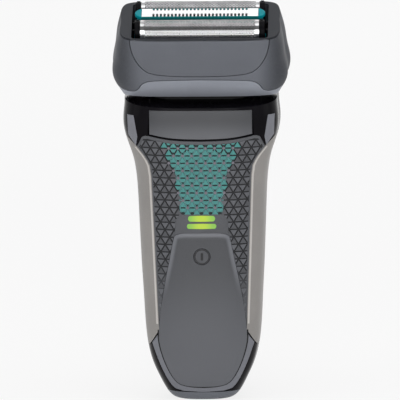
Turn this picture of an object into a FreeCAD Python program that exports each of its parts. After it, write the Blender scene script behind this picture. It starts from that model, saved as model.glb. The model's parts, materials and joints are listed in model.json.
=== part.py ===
"""Foil shaver: a tilting two-foil head with a centre trimmer on a moulded, mains-free handle.

Frame: +X is the right-hand side seen from the front, -Y is the front, +Z is up.
The origin is the middle of the flat foot.  Millimetres.
"""
import FreeCAD, Part
import math
import os
from FreeCAD import Vector, Rotation, Placement

# ------------------------------------------------------------------ driving dimensions
# Handle, outside
HANDLE_LENGTH = 117.6          # foot to the front edge of the crowned deck
SHOULDER_HALF = 30.6           # half width at the shoulders, the widest part of the handle
FRONT_DEPTH = 19.0             # centre plane to the front wall at the shoulders
REAR_DEPTH = 20.0              # centre plane to the rear wall at the shoulders
DECK_CROWN = 2.4               # rise of the deck from its front edge to its middle
CAP_HEIGHT = 3.4               # bottom cap
SKIN = 1.1                     # panels, grips and trims that lie in the housing's pockets
WALL = 1.3                     # housing wall under them
BED = 0.05                     # glue line between a panel and its pocket
SEAM = 0.12                    # visible seam beside a panel
PARTING_Y = 1.5                # plane where the front and rear housings meet
GRIP_REAR_Y = 8.0              # rear edge of the side grips
THUMB_RAISE = 0.55             # thumb panel above the grip panel

# Foils, cutters and centre trimmer
FOIL_RADIUS = 4.6
FOIL_SHEET = 0.3
FOIL_HALF = 23.1               # half length of the metal foil
FOIL_LIFT = 4.2                # crest of the foils above the bezel's seam
FLOAT = 1.5                    # how far a foil can be pressed in
TRIMMER_FLOAT = 1.0            # and the centre trimmer
CUTTER_GAP = 0.25              # blades to foil
BLADES = 20                    # lamella blades of one cutter
BLADE_SHEET = 0.35
COMB_WIDTH = 6.4
COMB_SHEET = 0.3
COMB_LIP = 1.1
COMB_RIM = 0.6                 # cradle wall beside the comb
CRADLE_DEPTH = 1.6             # height of the cradle's rim
FOOT_WIDTH = 5.8               # cradle under its rim, between the foils
FOOT_HEIGHT = 1.6
STROKE = 0.9                   # oscillator travel to each side

# Head
HEAD_TILT = 17.0               # degrees, top leans to the front
PIVOT_RISE = 6.4               # head pivot axis above the deck's front edge
HEAD_BOTTOM = 2.4              # lower edge of the head below the pivot axis
HEAD_TOP = 27.5                # seam under the bezel, along the head's own axis
BEZEL_HEIGHT = 0.8
HEAD_WALL = 1.5
HEAD_SEAM = 0.32               # visible seams of the head
HEAD_SHOULDER = 8.1            # bezel beside the opening, to the widest part of the head
HEAD_LIP_FRONT = 1.8           # bezel in front of the opening, to the deepest part of the head
HEAD_LIP_REAR = 3.3
OPENING_SIDE = 3.5             # foil's end to the opening's end
OPENING_FRONT_GAP = 3.8        # foil's side to the opening's front edge
OPENING_REAR_GAP = 1.0

# What follows from them
CRADLE_WIDTH = COMB_WIDTH + 2 * (COMB_RIM + 0.1)
FOIL_PITCH = FOOT_WIDTH + 2 * FOIL_RADIUS + 1.6     # between the axes of the two foils
FOIL_Y = FOIL_PITCH / 2
FOIL_TOP = HEAD_TOP + FOIL_LIFT                     # crest of the foils above the pivot axis
OPENING_HALF = FOIL_HALF + OPENING_SIDE
OPENING_FRONT = FOIL_Y + FOIL_RADIUS + OPENING_FRONT_GAP
OPENING_REAR = FOIL_Y + FOIL_RADIUS + OPENING_REAR_GAP
HEAD_HALF = OPENING_HALF + HEAD_SHOULDER            # half width at the widest part of the head
HEAD_FRONT = OPENING_FRONT + HEAD_LIP_FRONT         # deepest front of the head
HEAD_REAR = OPENING_REAR + HEAD_LIP_REAR
CRADLE_HALF = OPENING_HALF - 1.2
COMB_HALF = FOIL_HALF - 0.4
PIVOT_Z = HANDLE_LENGTH + PIVOT_RISE

# Drive and power
MOTOR_DIAMETER = 21.0
MOTOR_LENGTH = 27.0
SHAFT_DIAMETER = 2.0
CELL_DIAMETER = 14.2
CELL_LENGTH = 49.0
BOARD_THICKNESS = 1.2
BUTTON_DIAMETER = 6.2
BUTTON_TRAVEL = 0.6
BUTTON_Z = 0.498 * HANDLE_LENGTH
MOVING_GAP = 0.3               # between pieces that move past each other
RUNNING = 0.05                 # radial clearance of a pin or shaft in its bore

TILT = Placement(Vector(0, 0, PIVOT_Z), Rotation(Vector(1, 0, 0), HEAD_TILT))
NODES = {}


# ------------------------------------------------------------------ shape helpers
def node(name, shape):
    """Keep a finished sub-part under its node name."""
    NODES[name] = shape


def tilted(shape):
    """Move a shape from the head's own frame to its place on the handle."""
    moved = shape.copy()
    moved.Placement = TILT.multiply(moved.Placement)
    return moved


def box(x0, x1, y0, y1, z0, z1):
    return Part.makeBox(x1 - x0, y1 - y0, z1 - z0, Vector(x0, y0, z0))


def rod(radius, start, end):
    axis = Vector(*end).sub(Vector(*start))
    return Part.makeCylinder(radius, axis.Length, Vector(*start), axis)


def stadium(half, width, z0, z1):
    """A plate with round ends, its long axis along X."""
    reach = half - width / 2
    middle = box(-reach, reach, -width / 2, width / 2, z0, z1)
    ends = [rod(width / 2, (s * reach, 0, z0), (s * reach, 0, z1)) for s in (1, -1)]
    return middle.fuse(ends).removeSplitter()


def cut_all(shape, tools):
    """Cut with one tool after another, which is steadier on lofted shells than all at once."""
    for tool in tools:
        shape = shape.cut(tool)
    return shape


def mirrored(shape):
    """The same shape on the other side of the centre plane."""
    return shape.mirror(Vector(0, 0, 0), Vector(1, 0, 0))


def both_sides(points):
    """Close a symmetric outline from its right-hand half, listed from top to bottom."""
    left = [(-x, z) for x, z in reversed(points) if x > 0]
    return points + left


def prism(points, y0, y1):
    """Extrude an outline in the XZ plane from y0 to y1."""
    corners = [Vector(x, y0, z) for x, z in points]
    face = Part.Face(Part.makePolygon(corners + [corners[0]]))
    return face.extrude(Vector(0, y1 - y0, 0))


def softened(points, rounds=1):
    """The same open line with its corners cut again and again; both ends stay."""
    for _ in range(rounds):
        line = [points[0]]
        for (x0, z0), (x1, z1) in zip(points, points[1:]):
            line.append((0.75 * x0 + 0.25 * x1, 0.75 * z0 + 0.25 * z1))
            line.append((0.25 * x0 + 0.75 * x1, 0.25 * z0 + 0.75 * z1))
        points = line + [points[-1]]
    return points


def grown(points, margin):
    """The outline moved outwards by a margin (inwards when negative)."""
    corners = [Vector(x, 0, z) for x, z in points]
    wire = Part.makePolygon(corners + [corners[0]])
    moved = wire.makeOffset2D(margin, 2)
    ordered = [v.Point for v in moved.OrderedVertexes]
    return [(p.x, p.z) for p in ordered]


def ring_section(half, front, rear, square, height, points=20):
    """A closed, smooth section: a superellipse with its own front and rear depth."""
    spots = []
    for i in range(points):
        angle = 2 * math.pi * i / points
        c, s = math.cos(angle), math.sin(angle)
        depth = rear if s > 0 else front
        x = half * math.copysign(abs(c) ** (2 / square), c)
        y = depth * math.copysign(abs(s) ** (2 / square), s)
        spots.append(Vector(x, y, height))
    curve = Part.BSplineCurve()
    curve.interpolate(Points=spots, PeriodicFlag=True)
    return Part.Wire([curve.toShape()])


def loft(stations, inset=0.0):
    """Skin through (height, half width, front, rear, squareness), drawn in by inset."""
    rings = [ring_section(a - inset, f - inset, r - inset, n, z) for z, a, f, r, n in stations]
    return Part.makeLoft(rings, True, False)


# ------------------------------------------------------------------ handle form
# share of the length, of the shoulder width, of the front depth and of the rear depth, squareness
HANDLE_FORM = (
    (0.000, 0.350, 0.42, 0.45, 2.5),
    (0.012, 0.430, 0.52, 0.55, 2.5),
    (0.040, 0.508, 0.62, 0.64, 2.5),
    (0.080, 0.585, 0.70, 0.71, 2.6),
    (0.135, 0.670, 0.77, 0.77, 2.7),
    (0.200, 0.722, 0.82, 0.81, 2.8),
    (0.320, 0.757, 0.85, 0.85, 2.8),
    (0.450, 0.784, 0.88, 0.89, 2.8),
    (0.600, 0.808, 0.92, 0.93, 2.8),
    (0.730, 0.830, 0.96, 0.96, 2.9),
    (0.790, 0.855, 0.98, 0.98, 3.0),
    (0.850, 0.915, 1.00, 1.00, 3.1),
    (0.910, 0.985, 1.00, 1.00, 3.3),
    (0.950, 1.000, 1.00, 1.00, 3.4),
    (1.030, 0.985, 0.97, 0.97, 3.4),
)


def handle_stations():
    return [(s * HANDLE_LENGTH, a * SHOULDER_HALF, f * FRONT_DEPTH, r * REAR_DEPTH, n)
            for s, a, f, r, n in HANDLE_FORM]


def handle_at(height):
    """Half width, front depth, rear depth and squareness of the outside at a height."""
    rows = handle_stations()
    for low, high in zip(rows, rows[1:]):
        if low[0] <= height <= high[0]:
            t = (height - low[0]) / (high[0] - low[0])
            return tuple(low[k] + t * (high[k] - low[k]) for k in (1, 2, 3, 4))
    return rows[-1][1:]


def screw_seat(spot, height):
    """Where a housing screw's head rests, just deep enough in the rear wall to be covered."""
    half, _, rear, square = handle_at(height)
    wall = rear * (1 - ((spot + SCREW_HEAD) / half) ** square) ** (1 / square)
    return wall - SCREW_HEAD_HEIGHT - 0.4


# Outlines on the front, right-hand half from top to bottom: (share of the local width, height).
# Heights are shares of the handle's length, widths are shares of the shoulder half width.
def on_front(pairs):
    return [(x * SHOULDER_HALF, z * HANDLE_LENGTH) for x, z in pairs]


PANEL_SIDE = ((0.820, 0.866), (0.700, 0.828), (0.640, 0.796), (0.624, 0.686), (0.562, 0.244))
PANEL_TOP = ((0.000, 0.888), (0.330, 0.890), (0.560, 0.899), (0.742, 0.910), (0.790, 0.880),
             (0.820, 0.866))
PANEL_FOOT = ((0.562, 0.244), (0.566, 0.200), (0.480, 0.125), (0.350, 0.062), (0.200, 0.050), (0.000, 0.049))
THUMB_TOP = ((0.000, 0.577), (0.340, 0.577), (0.372, 0.545), (0.414, 0.484), (0.457, 0.434),
             (0.520, 0.345), (0.556, 0.275), (0.562, 0.244))
GRIP_TIP = (0.690, 0.187)
GRIP_SLOPE = 0.9                                    # rise of the grip's upper edge towards the side
TRIM_OUTER = ((0.590, 0.222), (0.655, 0.196), (0.560, 0.125), (0.440, 0.060), (0.340, 0.034),
              (0.000, 0.030))
FACET = ((0.858, 0.972), (0.943, 0.972), (0.932, 0.903), (0.833, 0.868), (0.812, 0.900))
PLATE_SIDE, PLATE_TOP = 0.655, 0.992
PLATE_GAP = 0.9                # between the plate and the grip panel, along the height

# ------------------------------------------------------------------ handle shells
FRONT_LIMIT = -3 * FRONT_DEPTH
REAR_LIMIT = 3 * REAR_DEPTH


def crowned_deck():
    """Everything above the deck: a broad cylinder about X, highest in the middle."""
    half_chord = FRONT_DEPTH
    radius = (half_chord ** 2 + DECK_CROWN ** 2) / (2 * DECK_CROWN)
    crest = HANDLE_LENGTH + DECK_CROWN
    under = rod(radius, (-2 * SHOULDER_HALF, 0, crest - radius), (2 * SHOULDER_HALF, 0, crest - radius))
    block = box(-2 * SHOULDER_HALF, 2 * SHOULDER_HALF, FRONT_LIMIT, REAR_LIMIT,
                HANDLE_LENGTH - 8, HANDLE_LENGTH + 30)
    return block.cut(under)


class HandleForm:
    """The handle's outside, the pocket floor under its panels and the cavity."""

    def __init__(self):
        rows = handle_stations()
        self.deck_cut = crowned_deck()
        self.outside = loft(rows).cut(self.deck_cut)
        self.pocket_floor = loft(rows, SKIN + BED)
        self.panel_back = loft(rows, SKIN)
        cavity = loft(rows, SKIN + BED + WALL)
        tall = 2 * HANDLE_LENGTH
        ceiling = HANDLE_LENGTH + DECK_CROWN - 3.6
        keep = box(-60, 60, FRONT_LIMIT, REAR_LIMIT, CAP_HEIGHT + 1.2, ceiling)
        self.cavity = cavity.common(keep)
        self.shell = self.outside.cut(self.cavity)
        self.cap_zone = box(-60, 60, FRONT_LIMIT, REAR_LIMIT, -1, CAP_HEIGHT)
        self.front_zone = box(-60, 60, FRONT_LIMIT, PARTING_Y, -1, tall)
        self.rear_zone = box(-60, 60, PARTING_Y, REAR_LIMIT, -1, tall)

    def panel(self, outline, depth_limit=0.0, raised=0.0):
        """A skin piece that fills an outline, trimmed to the outside of the handle."""
        skin = self.outside if not raised else loft(handle_stations(), -raised)
        return skin.common(prism(outline, FRONT_LIMIT, depth_limit)).cut(self.panel_back)


def curve(pairs, rounds=1):
    """A softened line on the front, from shares."""
    return softened(on_front(pairs), rounds)


def outline_panel():
    """Grip panel and thumb panel together: the inner field of the front."""
    return both_sides(curve(PANEL_TOP, 2) + curve(PANEL_SIDE)[1:] + curve(PANEL_FOOT)[1:])


def outline_thumb():
    return both_sides(curve(THUMB_TOP, 2) + curve(PANEL_FOOT)[1:])


def grip_reach():
    """Two points well outside the housing, where the grip's lower and upper edges run to."""
    far = 1.3 * SHOULDER_HALF
    top_x, top_z = on_front(PANEL_SIDE[:1])[0]
    return [(far, HANDLE_LENGTH * GRIP_TIP[1] - 2.0), (far, top_z + GRIP_SLOPE * (far - top_x))]


def outline_grip():
    """The right-hand side grip as seen from the front, open to the outside edge."""
    return curve(PANEL_SIDE) + on_front((GRIP_TIP,)) + grip_reach()


def outline_covered():
    """Everything that plate, panels, facets, grips and trim cover, as one outline.

    The pockets are cut with this one outline, so no sliver of housing stays between two pieces.
    """
    facet = on_front(FACET)
    neck = (facet[3][0] + 0.7, facet[3][1] + 0.7 * GRIP_SLOPE)
    plate_side, plate_top = on_front(((PLATE_SIDE, PLATE_TOP),))[0]
    shoulder = [facet[3], facet[4], facet[0], facet[1], facet[2], neck]
    low, high = grip_reach()
    edge = [p for p in curve(PANEL_TOP, 2) if p[0] > plate_side]
    right = [(0.0, plate_top), (plate_side, plate_top)] + edge[:-1] + shoulder
    right += [high, low] + on_front((GRIP_TIP,)) + curve(TRIM_OUTER[1:])
    return both_sides(right)


def outline_grip_side():
    """The part of the grip that wraps round the side of the housing."""
    inner = 0.66 * SHOULDER_HALF
    low, high = grip_reach()
    tip = on_front((GRIP_TIP,))[0]
    slope_low = (low[1] - tip[1]) / (low[0] - tip[0])
    return [(inner, high[1] + GRIP_SLOPE * (inner - high[0])), high, low,
            (inner, tip[1] + slope_low * (inner - tip[0]))]


def outline_trim():
    outer = on_front(TRIM_OUTER[:1]) + curve(TRIM_OUTER[1:])
    inner = curve(PANEL_FOOT)[1:]
    left_outer = [(-x, z) for x, z in reversed(outer) if x > 0]
    left_inner = [(-x, z) for x, z in inner if x > 0]
    return outer + left_outer + left_inner + list(reversed(inner))


def outline_facet():
    return on_front(FACET)


def outline_plate():
    side, top = on_front(((PLATE_SIDE, PLATE_TOP),))[0]
    foot = [(x, z + PLATE_GAP) for x, z in reversed(curve(PANEL_TOP, 2)) if x < side]
    return both_sides([(0.0, top), (side, top), (side, foot[0][1] + 0.1)] + foot)


def outline_bar(half, height, level):
    """A light bar with round ends."""
    radius = height / 2
    turns = [math.pi * k / 8 for k in range(1, 8)]
    right = [(half - radius + radius * math.sin(a), level + radius * math.cos(a)) for a in turns]
    return both_sides([(0.0, level + radius)] + right + [(0.0, level - radius)])


# ------------------------------------------------------------------ places that several parts share
CEILING_Z = HANDLE_LENGTH + DECK_CROWN - 3.6        # underside of the deck
YOKE_PLATE = 1.6
MOTOR_TOP_Z = CEILING_Z - YOKE_PLATE
EAR_OUTER = SHOULDER_HALF - 5.0                     # neck ears, distance from the centre plane
EAR_INNER = EAR_OUTER - 2.2
CHEEK_OUTER = EAR_INNER - 0.4                       # head cheeks between the ears
CHEEK_INNER = CHEEK_OUTER - 2.2
PIVOT_PIN = 1.2                                     # radius
EAR_RADIUS = 2.9
SCREW_SPOTS = ((0.53, 0.255), (0.59, 0.70))         # shares of the shoulder width and of the length
SCREW_RADIUS = 1.0
SCREW_HEAD = 1.9
SCREW_HEAD_HEIGHT = 1.5
BOSS_RADIUS = 2.3
BOARD_FRONT_Y = 8.4 - FRONT_DEPTH
BOARD_HALF = 12.6
BOARD_Z = (0.204 * HANDLE_LENGTH, 0.723 * HANDLE_LENGTH)
CELL_Y = BOARD_FRONT_Y + BOARD_THICKNESS + CELL_DIAMETER / 2 + 4.7
CELL_Z = 0.1276 * HANDLE_LENGTH
BAR_HALF = (5.3, 5.75)                              # upper and lower light bar
BAR_HEIGHT = (2.4, 2.1)
BAR_Z = (0.6265 * HANDLE_LENGTH, 0.6005 * HANDLE_LENGTH)
SOCKET_INSIDE = (8.6, 4.6)
SOCKET_DEPTH = 5.2
SOCKET_WALL = 1.1
MOTOR_SCREW_X = 7.0
ECCENTRIC_RADIUS = 4.0
ECCENTRIC_PIN = 0.8

SEAL_HALF = EAR_INNER - 4.0
SEAL_WIDTH = 16.8
SEAL_SEAT_Z = HANDLE_LENGTH + DECK_CROWN - 1.0
SEAL_HEIGHT = 1.8

# Detail trimmer that swings out of the back
BAY_HALF = 15.6
BAY_FLOOR_Y = REAR_DEPTH - 8.2
BAY_WALL = 1.1
HINGE_Y = REAR_DEPTH - 3.1
HINGE_Z = HANDLE_LENGTH - 41.6
ARM_BARREL = 2.3
ARM_TOP_Z = HANDLE_LENGTH - 10.6
ARM_HALF = BAY_HALF - BAY_WALL - MOVING_GAP
DETAIL_HALF = 12.4
DETAIL_TOOTH_PITCH = 1.65
DETAIL_STROKE = 0.8
SLIDE_Z = (HINGE_Z - 21.5, HINGE_Z - 11.5)
SLIDE_HALF = 6.0
SLIDE_TRAVEL = 4.0


def build_handle(form):
    """Housings, panels, grips and trims."""
    panel = outline_panel()
    thumb = outline_thumb()
    grip = outline_grip()
    trim = outline_trim()
    facet = outline_facet()
    plate = outline_plate()
    front_edge = -2.0

    over_front = prism(grown(outline_covered(), SEAM), FRONT_LIMIT, front_edge)
    round_side = prism(grown(outline_grip_side(), SEAM), front_edge - 1.0, GRIP_REAR_Y + SEAM)
    pockets = [tool.cut(form.pocket_floor) for tool in (over_front, round_side, mirrored(round_side))]

    button_hole = rod(1.8 + MOVING_GAP, (0, FRONT_LIMIT, BUTTON_Z), (0, -12, BUTTON_Z))
    window = box(-4.4, 4.4, FRONT_LIMIT, -12, BAR_Z[1] - 0.7, BAR_Z[0] + 0.7)
    deck_hole = rod(ECCENTRIC_RADIUS + 0.8, (0, 0, CEILING_Z - 1), (0, 0, HANDLE_LENGTH + 9))
    seal_seat = stadium(SEAL_HALF + 0.1, SEAL_WIDTH + 0.2, SEAL_SEAT_Z, HANDLE_LENGTH + 9)
    ear_slots = [box(x0 - 0.1, x1 + 0.1, -EAR_RADIUS - 0.1, EAR_RADIUS + 0.1,
                     CEILING_Z - 1, HANDLE_LENGTH + 9)
                 for x0, x1 in ((EAR_INNER, EAR_OUTER), (-EAR_OUTER, -EAR_INNER))]
    cap_cut = box(-60, 60, FRONT_LIMIT, REAR_LIMIT, -2, CAP_HEIGHT + SEAM)
    screw_room = [rod(1.9, (s * MOTOR_SCREW_X, 0, CEILING_Z - 1), (s * MOTOR_SCREW_X, 0, CEILING_Z + 1.3))
                  for s in (1, -1)]
    half_x, half_y = socket_outside()
    socket_way = box(-half_x - 0.05, half_x + 0.05, -half_y - 0.05, half_y + 0.05, -1, 12)
    openings = pockets + [deck_hole, seal_seat, cap_cut, socket_way] + ear_slots + screw_room

    front = cut_all(form.shell.common(form.front_zone), openings + [button_hole, window])
    rear = form.shell.common(box(-60, 60, PARTING_Y + 0.1, REAR_LIMIT, -1, 2 * HANDLE_LENGTH))
    rear = cut_all(rear, openings)

    bosses, bores, heads = [], [], []
    rear_bosses = []
    for reach, share in SCREW_SPOTS:
        spot, height = reach * SHOULDER_HALF, share * HANDLE_LENGTH
        seat = screw_seat(spot, height)
        for side in (1, -1):
            x = side * spot
            bosses.append(rod(BOSS_RADIUS, (x, FRONT_LIMIT, height), (x, PARTING_Y, height)))
            rear_bosses.append(rod(BOSS_RADIUS, (x, PARTING_Y + 0.1, height), (x, REAR_LIMIT, height)))
            bores.append(rod(SCREW_RADIUS + 0.05, (x, -8, height), (x, REAR_LIMIT, height)))
            heads.append(rod(SCREW_HEAD + 0.2, (x, seat, height), (x, REAR_LIMIT, height)))
    for spot_z in (BOARD_Z[0] + 4, BOARD_Z[1] - 4):
        for side in (1, -1):
            x = side * (BOARD_HALF - 3)
            bosses.append(rod(1.8, (x, FRONT_LIMIT, spot_z), (x, BOARD_FRONT_Y, spot_z)))
    mid_wall = loft(handle_stations(), SKIN + BED + WALL / 2)
    bosses = [b.common(mid_wall) for b in bosses]
    rear_bosses = [b.common(mid_wall) for b in rear_bosses]
    front = cut_all(front.fuse(bosses), bores)
    rear = cut_all(rear.fuse(rear_bosses), bores + heads)

    bay = box(-BAY_HALF - 0.05, BAY_HALF + 0.05, BAY_FLOOR_Y - 0.05, REAR_LIMIT,
              HINGE_Z - ARM_BARREL - BAY_WALL - MOVING_GAP - 0.05, ARM_TOP_Z + 4.2)
    track = box(-SLIDE_HALF - MOVING_GAP, SLIDE_HALF + MOVING_GAP, slide_floor(), REAR_LIMIT,
                SLIDE_Z[0] - MOVING_GAP, SLIDE_Z[1] + SLIDE_TRAVEL + MOVING_GAP)
    slot = box(-1.8, 1.8, 0, REAR_LIMIT, SLIDE_Z[0] + 2.7, SLIDE_Z[0] + 6.3 + SLIDE_TRAVEL)
    rear = cut_all(rear, [bay, track, slot])
    node("front_housing", front)
    node("rear_housing", rear)

    panel_solid = form.panel(panel, front_edge)
    bars = [outline_bar(*sizes) for sizes in zip(BAR_HALF, BAR_HEIGHT, BAR_Z)]
    thumb_gap = prism(grown(thumb, SEAM), FRONT_LIMIT, 0)
    windows = [prism(grown(o, 0.05), FRONT_LIMIT, 0) for o in bars]
    node("grip_panel", panel_solid.cut([thumb_gap] + windows))
    node("light_bars", Part.makeCompound([form.panel(o, 0) for o in bars]))
    hole = rod(BUTTON_DIAMETER / 2 + MOVING_GAP, (0, FRONT_LIMIT, BUTTON_Z), (0, 0, BUTTON_Z))
    node("thumb_panel", bevelled_front(form.panel(thumb, front_edge, THUMB_RAISE)).cut(hole))
    node("name_plate", form.panel(plate, front_edge))
    for name, side in (("right", 1), ("left", -1)):
        node("side_grip_" + name, form.panel([(side * x, z) for x, z in grip], GRIP_REAR_Y))
        node("shoulder_inlay_" + name, form.panel([(side * x, z) for x, z in facet], front_edge))
    node("lower_trim", form.panel(trim, front_edge))

    cap = form.outside.common(form.cap_zone)
    node("bottom_cap", cap.cut(socket_way))


def bevelled_front(shape):
    """The thumb panel with its front edge bevelled."""
    skins = sorted(shape.Faces, key=lambda face: face.Area)[-2:]
    front = min(skins, key=lambda face: face.CenterOfMass.y)
    return shape.makeChamfer(THUMB_RAISE - 0.05, front.Edges)


def socket_outside():
    """Half sizes of the charging socket's outside."""
    return SOCKET_INSIDE[0] / 2 + SOCKET_WALL, SOCKET_INSIDE[1] / 2 + SOCKET_WALL


def slide_floor():
    """Floor of the release slide's track in the rear wall."""
    return handle_at(SLIDE_Z[0])[2] - 1.1


def build_power(form):
    """Button, switch, board, lights, cell and charging socket."""
    cap = loft(handle_stations(), -THUMB_RAISE)
    cap = cap.common(rod(BUTTON_DIAMETER / 2, (0, FRONT_LIMIT, BUTTON_Z), (0, -10, BUTTON_Z)))
    depth = handle_at(BUTTON_Z)[1]
    cap_back = -(depth - SKIN - BED) - BUTTON_TRAVEL - MOVING_GAP
    cap = cap.common(box(-9, 9, FRONT_LIMIT, cap_back, BUTTON_Z - 9, BUTTON_Z + 9))
    plunger_tip = BOARD_FRONT_Y - 3.6
    stem = rod(1.8, (0, cap_back, BUTTON_Z), (0, plunger_tip - BUTTON_TRAVEL - 0.1, BUTTON_Z))
    node("power_button", cap.fuse(stem))

    switch = box(-3, 3, BOARD_FRONT_Y - 2.6, BOARD_FRONT_Y, BUTTON_Z - 3, BUTTON_Z + 3)
    plunger = rod(1.5, (0, plunger_tip, BUTTON_Z), (0, BOARD_FRONT_Y - 2.6, BUTTON_Z))
    node("power_switch", switch.fuse(plunger))
    board = box(-BOARD_HALF, BOARD_HALF, BOARD_FRONT_Y, BOARD_FRONT_Y + BOARD_THICKNESS, *BOARD_Z)
    node("circuit_board", board)
    leds = [box(-1.2, 1.2, BOARD_FRONT_Y - 0.8, BOARD_FRONT_Y, z - 0.8, z + 0.8) for z in BAR_Z]
    node("status_leds", Part.makeCompound(leds))
    guide = box(-4.3, 4.3, FRONT_LIMIT, BOARD_FRONT_Y - 0.9, BAR_Z[1] - 0.6, BAR_Z[0] + 0.6)
    node("light_guide", guide.common(form.pocket_floor))

    node("battery_cell", cell_body())
    ribs = []
    for share in (0.08, 0.42, 0.74):
        level = CELL_Z + share * CELL_LENGTH
        rib = box(-9.5, 9.5, CELL_Y - 2.5, REAR_LIMIT, level, level + 2.2)
        rib = rib.common(loft(handle_stations(), SKIN + BED + WALL + BED))
        hollow = rod(CELL_DIAMETER / 2 + 0.1, (0, CELL_Y, 0), (0, CELL_Y, HANDLE_LENGTH))
        mouth = box(-CELL_DIAMETER / 2 + 0.6, CELL_DIAMETER / 2 - 0.6, -20, CELL_Y, 0, HANDLE_LENGTH)
        ribs.append(rib.cut([hollow, mouth]))
    node("battery_ribs", Part.makeCompound(ribs))
    tabs = []
    for z in (CELL_Z - 0.3, CELL_Z + CELL_LENGTH):
        tabs.append(box(-2.4, 2.4, BOARD_FRONT_Y + BOARD_THICKNESS, CELL_Y + 2, z, z + 0.3))
    if CELL_Z - 0.3 < BOARD_Z[0]:
        foot = box(-2.4, 2.4, BOARD_FRONT_Y + BOARD_THICKNESS, BOARD_FRONT_Y + BOARD_THICKNESS + 0.3,
                   CELL_Z - 0.3, BOARD_Z[0] + 3)
        tabs[0] = tabs[0].fuse(foot)
    node("battery_tabs", Part.makeCompound(tabs))

    inner_x, inner_y = SOCKET_INSIDE[0] / 2, SOCKET_INSIDE[1] / 2
    half_x, half_y = socket_outside()
    outer = box(-half_x, half_x, -half_y, half_y, 0.4, SOCKET_DEPTH + 5.2)
    recess = box(-inner_x, inner_x, -inner_y, inner_y, -1, SOCKET_DEPTH + 3.2)
    pins = [rod(0.6, (s * 2.2, 0, SOCKET_DEPTH), (s * 2.2, 0, SOCKET_DEPTH + 6.4)) for s in (1, -1)]
    node("charging_socket", outer.cut(recess).cut(pins))
    node("socket_pins", Part.makeCompound(pins))


def cell_body():
    can = rod(CELL_DIAMETER / 2, (0, CELL_Y, CELL_Z), (0, CELL_Y, CELL_Z + CELL_LENGTH - 1.2))
    cap = rod(2.8, (0, CELL_Y, CELL_Z + CELL_LENGTH - 1.2), (0, CELL_Y, CELL_Z + CELL_LENGTH))
    rims = [e for e in can.Edges if e.Closed]
    return can.makeFillet(0.7, rims).fuse(cap)


def build_drive(form):
    """Motor, eccentric, neck yoke, seal and pivot pins."""
    top = MOTOR_TOP_Z
    can = rod(MOTOR_DIAMETER / 2, (0, 0, top - MOTOR_LENGTH), (0, 0, top))
    can = can.makeFillet(1.2, [e for e in can.Edges if e.Closed and e.CenterOfMass.z < top - 1])
    collar = rod(3.1, (0, 0, top), (0, 0, top + YOKE_PLATE + 0.3))
    bushing = rod(SHAFT_DIAMETER / 2 + RUNNING, (0, 0, top - 7), (0, 0, top + 5))
    screws, shanks = [], []
    for x in (MOTOR_SCREW_X, -MOTOR_SCREW_X):
        shank = rod(0.9, (x, 0, top - 3), (x, 0, top + YOKE_PLATE))
        screws.append(shank.fuse(rod(1.7, (x, 0, top + YOKE_PLATE), (x, 0, top + YOKE_PLATE + 1.0))))
        shanks.append(rod(0.9, (x, 0, top - 3), (x, 0, top + 5)))
    node("motor_can", can.fuse(collar).cut([bushing] + shanks))
    node("motor_screws", Part.makeCompound(screws))

    plate = box(-EAR_OUTER, EAR_OUTER, -9, 9, top, CEILING_Z - BED)
    plate = plate.common(loft(handle_stations(), SKIN + BED + WALL + BED))
    ears = []
    for side in (1, -1):
        x0, x1 = sorted((side * EAR_INNER, side * EAR_OUTER))
        ear = box(x0, x1, -EAR_RADIUS, EAR_RADIUS, top, PIVOT_Z)
        ears.append(ear.fuse(rod(EAR_RADIUS, (x0, 0, PIVOT_Z), (x1, 0, PIVOT_Z))))
    head_room = [rod(1.8, (s * MOTOR_SCREW_X, 0, top + YOKE_PLATE - 0.05), (s * MOTOR_SCREW_X, 0, top + 9))
                 for s in (1, -1)]
    centre = rod(3.2, (0, 0, top - 1), (0, 0, top + 5))
    pin_bore = rod(PIVOT_PIN, (-60, 0, PIVOT_Z), (60, 0, PIVOT_Z))
    node("neck_yoke", plate.fuse(ears).cut([centre, pin_bore] + shanks + head_room))
    pins = []
    for side in (1, -1):
        x0, x1 = sorted((side * (CHEEK_INNER - 0.6), side * EAR_OUTER))
        pins.append(rod(PIVOT_PIN, (x0, 0, PIVOT_Z), (x1, 0, PIVOT_Z)))
    node("pivot_pins", Part.makeCompound(pins))

    seal = stadium(SEAL_HALF, SEAL_WIDTH, SEAL_SEAT_Z, SEAL_SEAT_Z + SEAL_HEIGHT)
    seal = seal.cut(rod(ECCENTRIC_RADIUS + 1.2, (0, 0, SEAL_SEAT_Z - 1), (0, 0, SEAL_SEAT_Z + 9)))
    node("neck_seal", seal)

    shaft = rod(SHAFT_DIAMETER / 2, (0, 0, top - 6.5), (0, 0, HANDLE_LENGTH + 1.6))
    node("motor_shaft", shaft)
    low, high = CEILING_Z + 0.9, HANDLE_LENGTH + DECK_CROWN - 0.6
    disc = rod(ECCENTRIC_RADIUS, (0, 0, low), (0, 0, high)).cut(shaft)
    crank = rod(ECCENTRIC_PIN, (STROKE, 0, high), (STROKE, 0, PIVOT_Z + 1.6))
    node("eccentric", disc.fuse(crank))

    screws = []
    for reach, share in SCREW_SPOTS:
        spot, height = reach * SHOULDER_HALF, share * HANDLE_LENGTH
        seat_y = screw_seat(spot, height)
        for side in (1, -1):
            x = side * spot
            shank = rod(SCREW_RADIUS, (x, -7.5, height), (x, seat_y, height))
            head = rod(SCREW_HEAD, (x, seat_y, height), (x, seat_y + SCREW_HEAD_HEIGHT, height))
            screws.append(shank.fuse(head))
    node("housing_screws", Part.makeCompound(screws))


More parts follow.
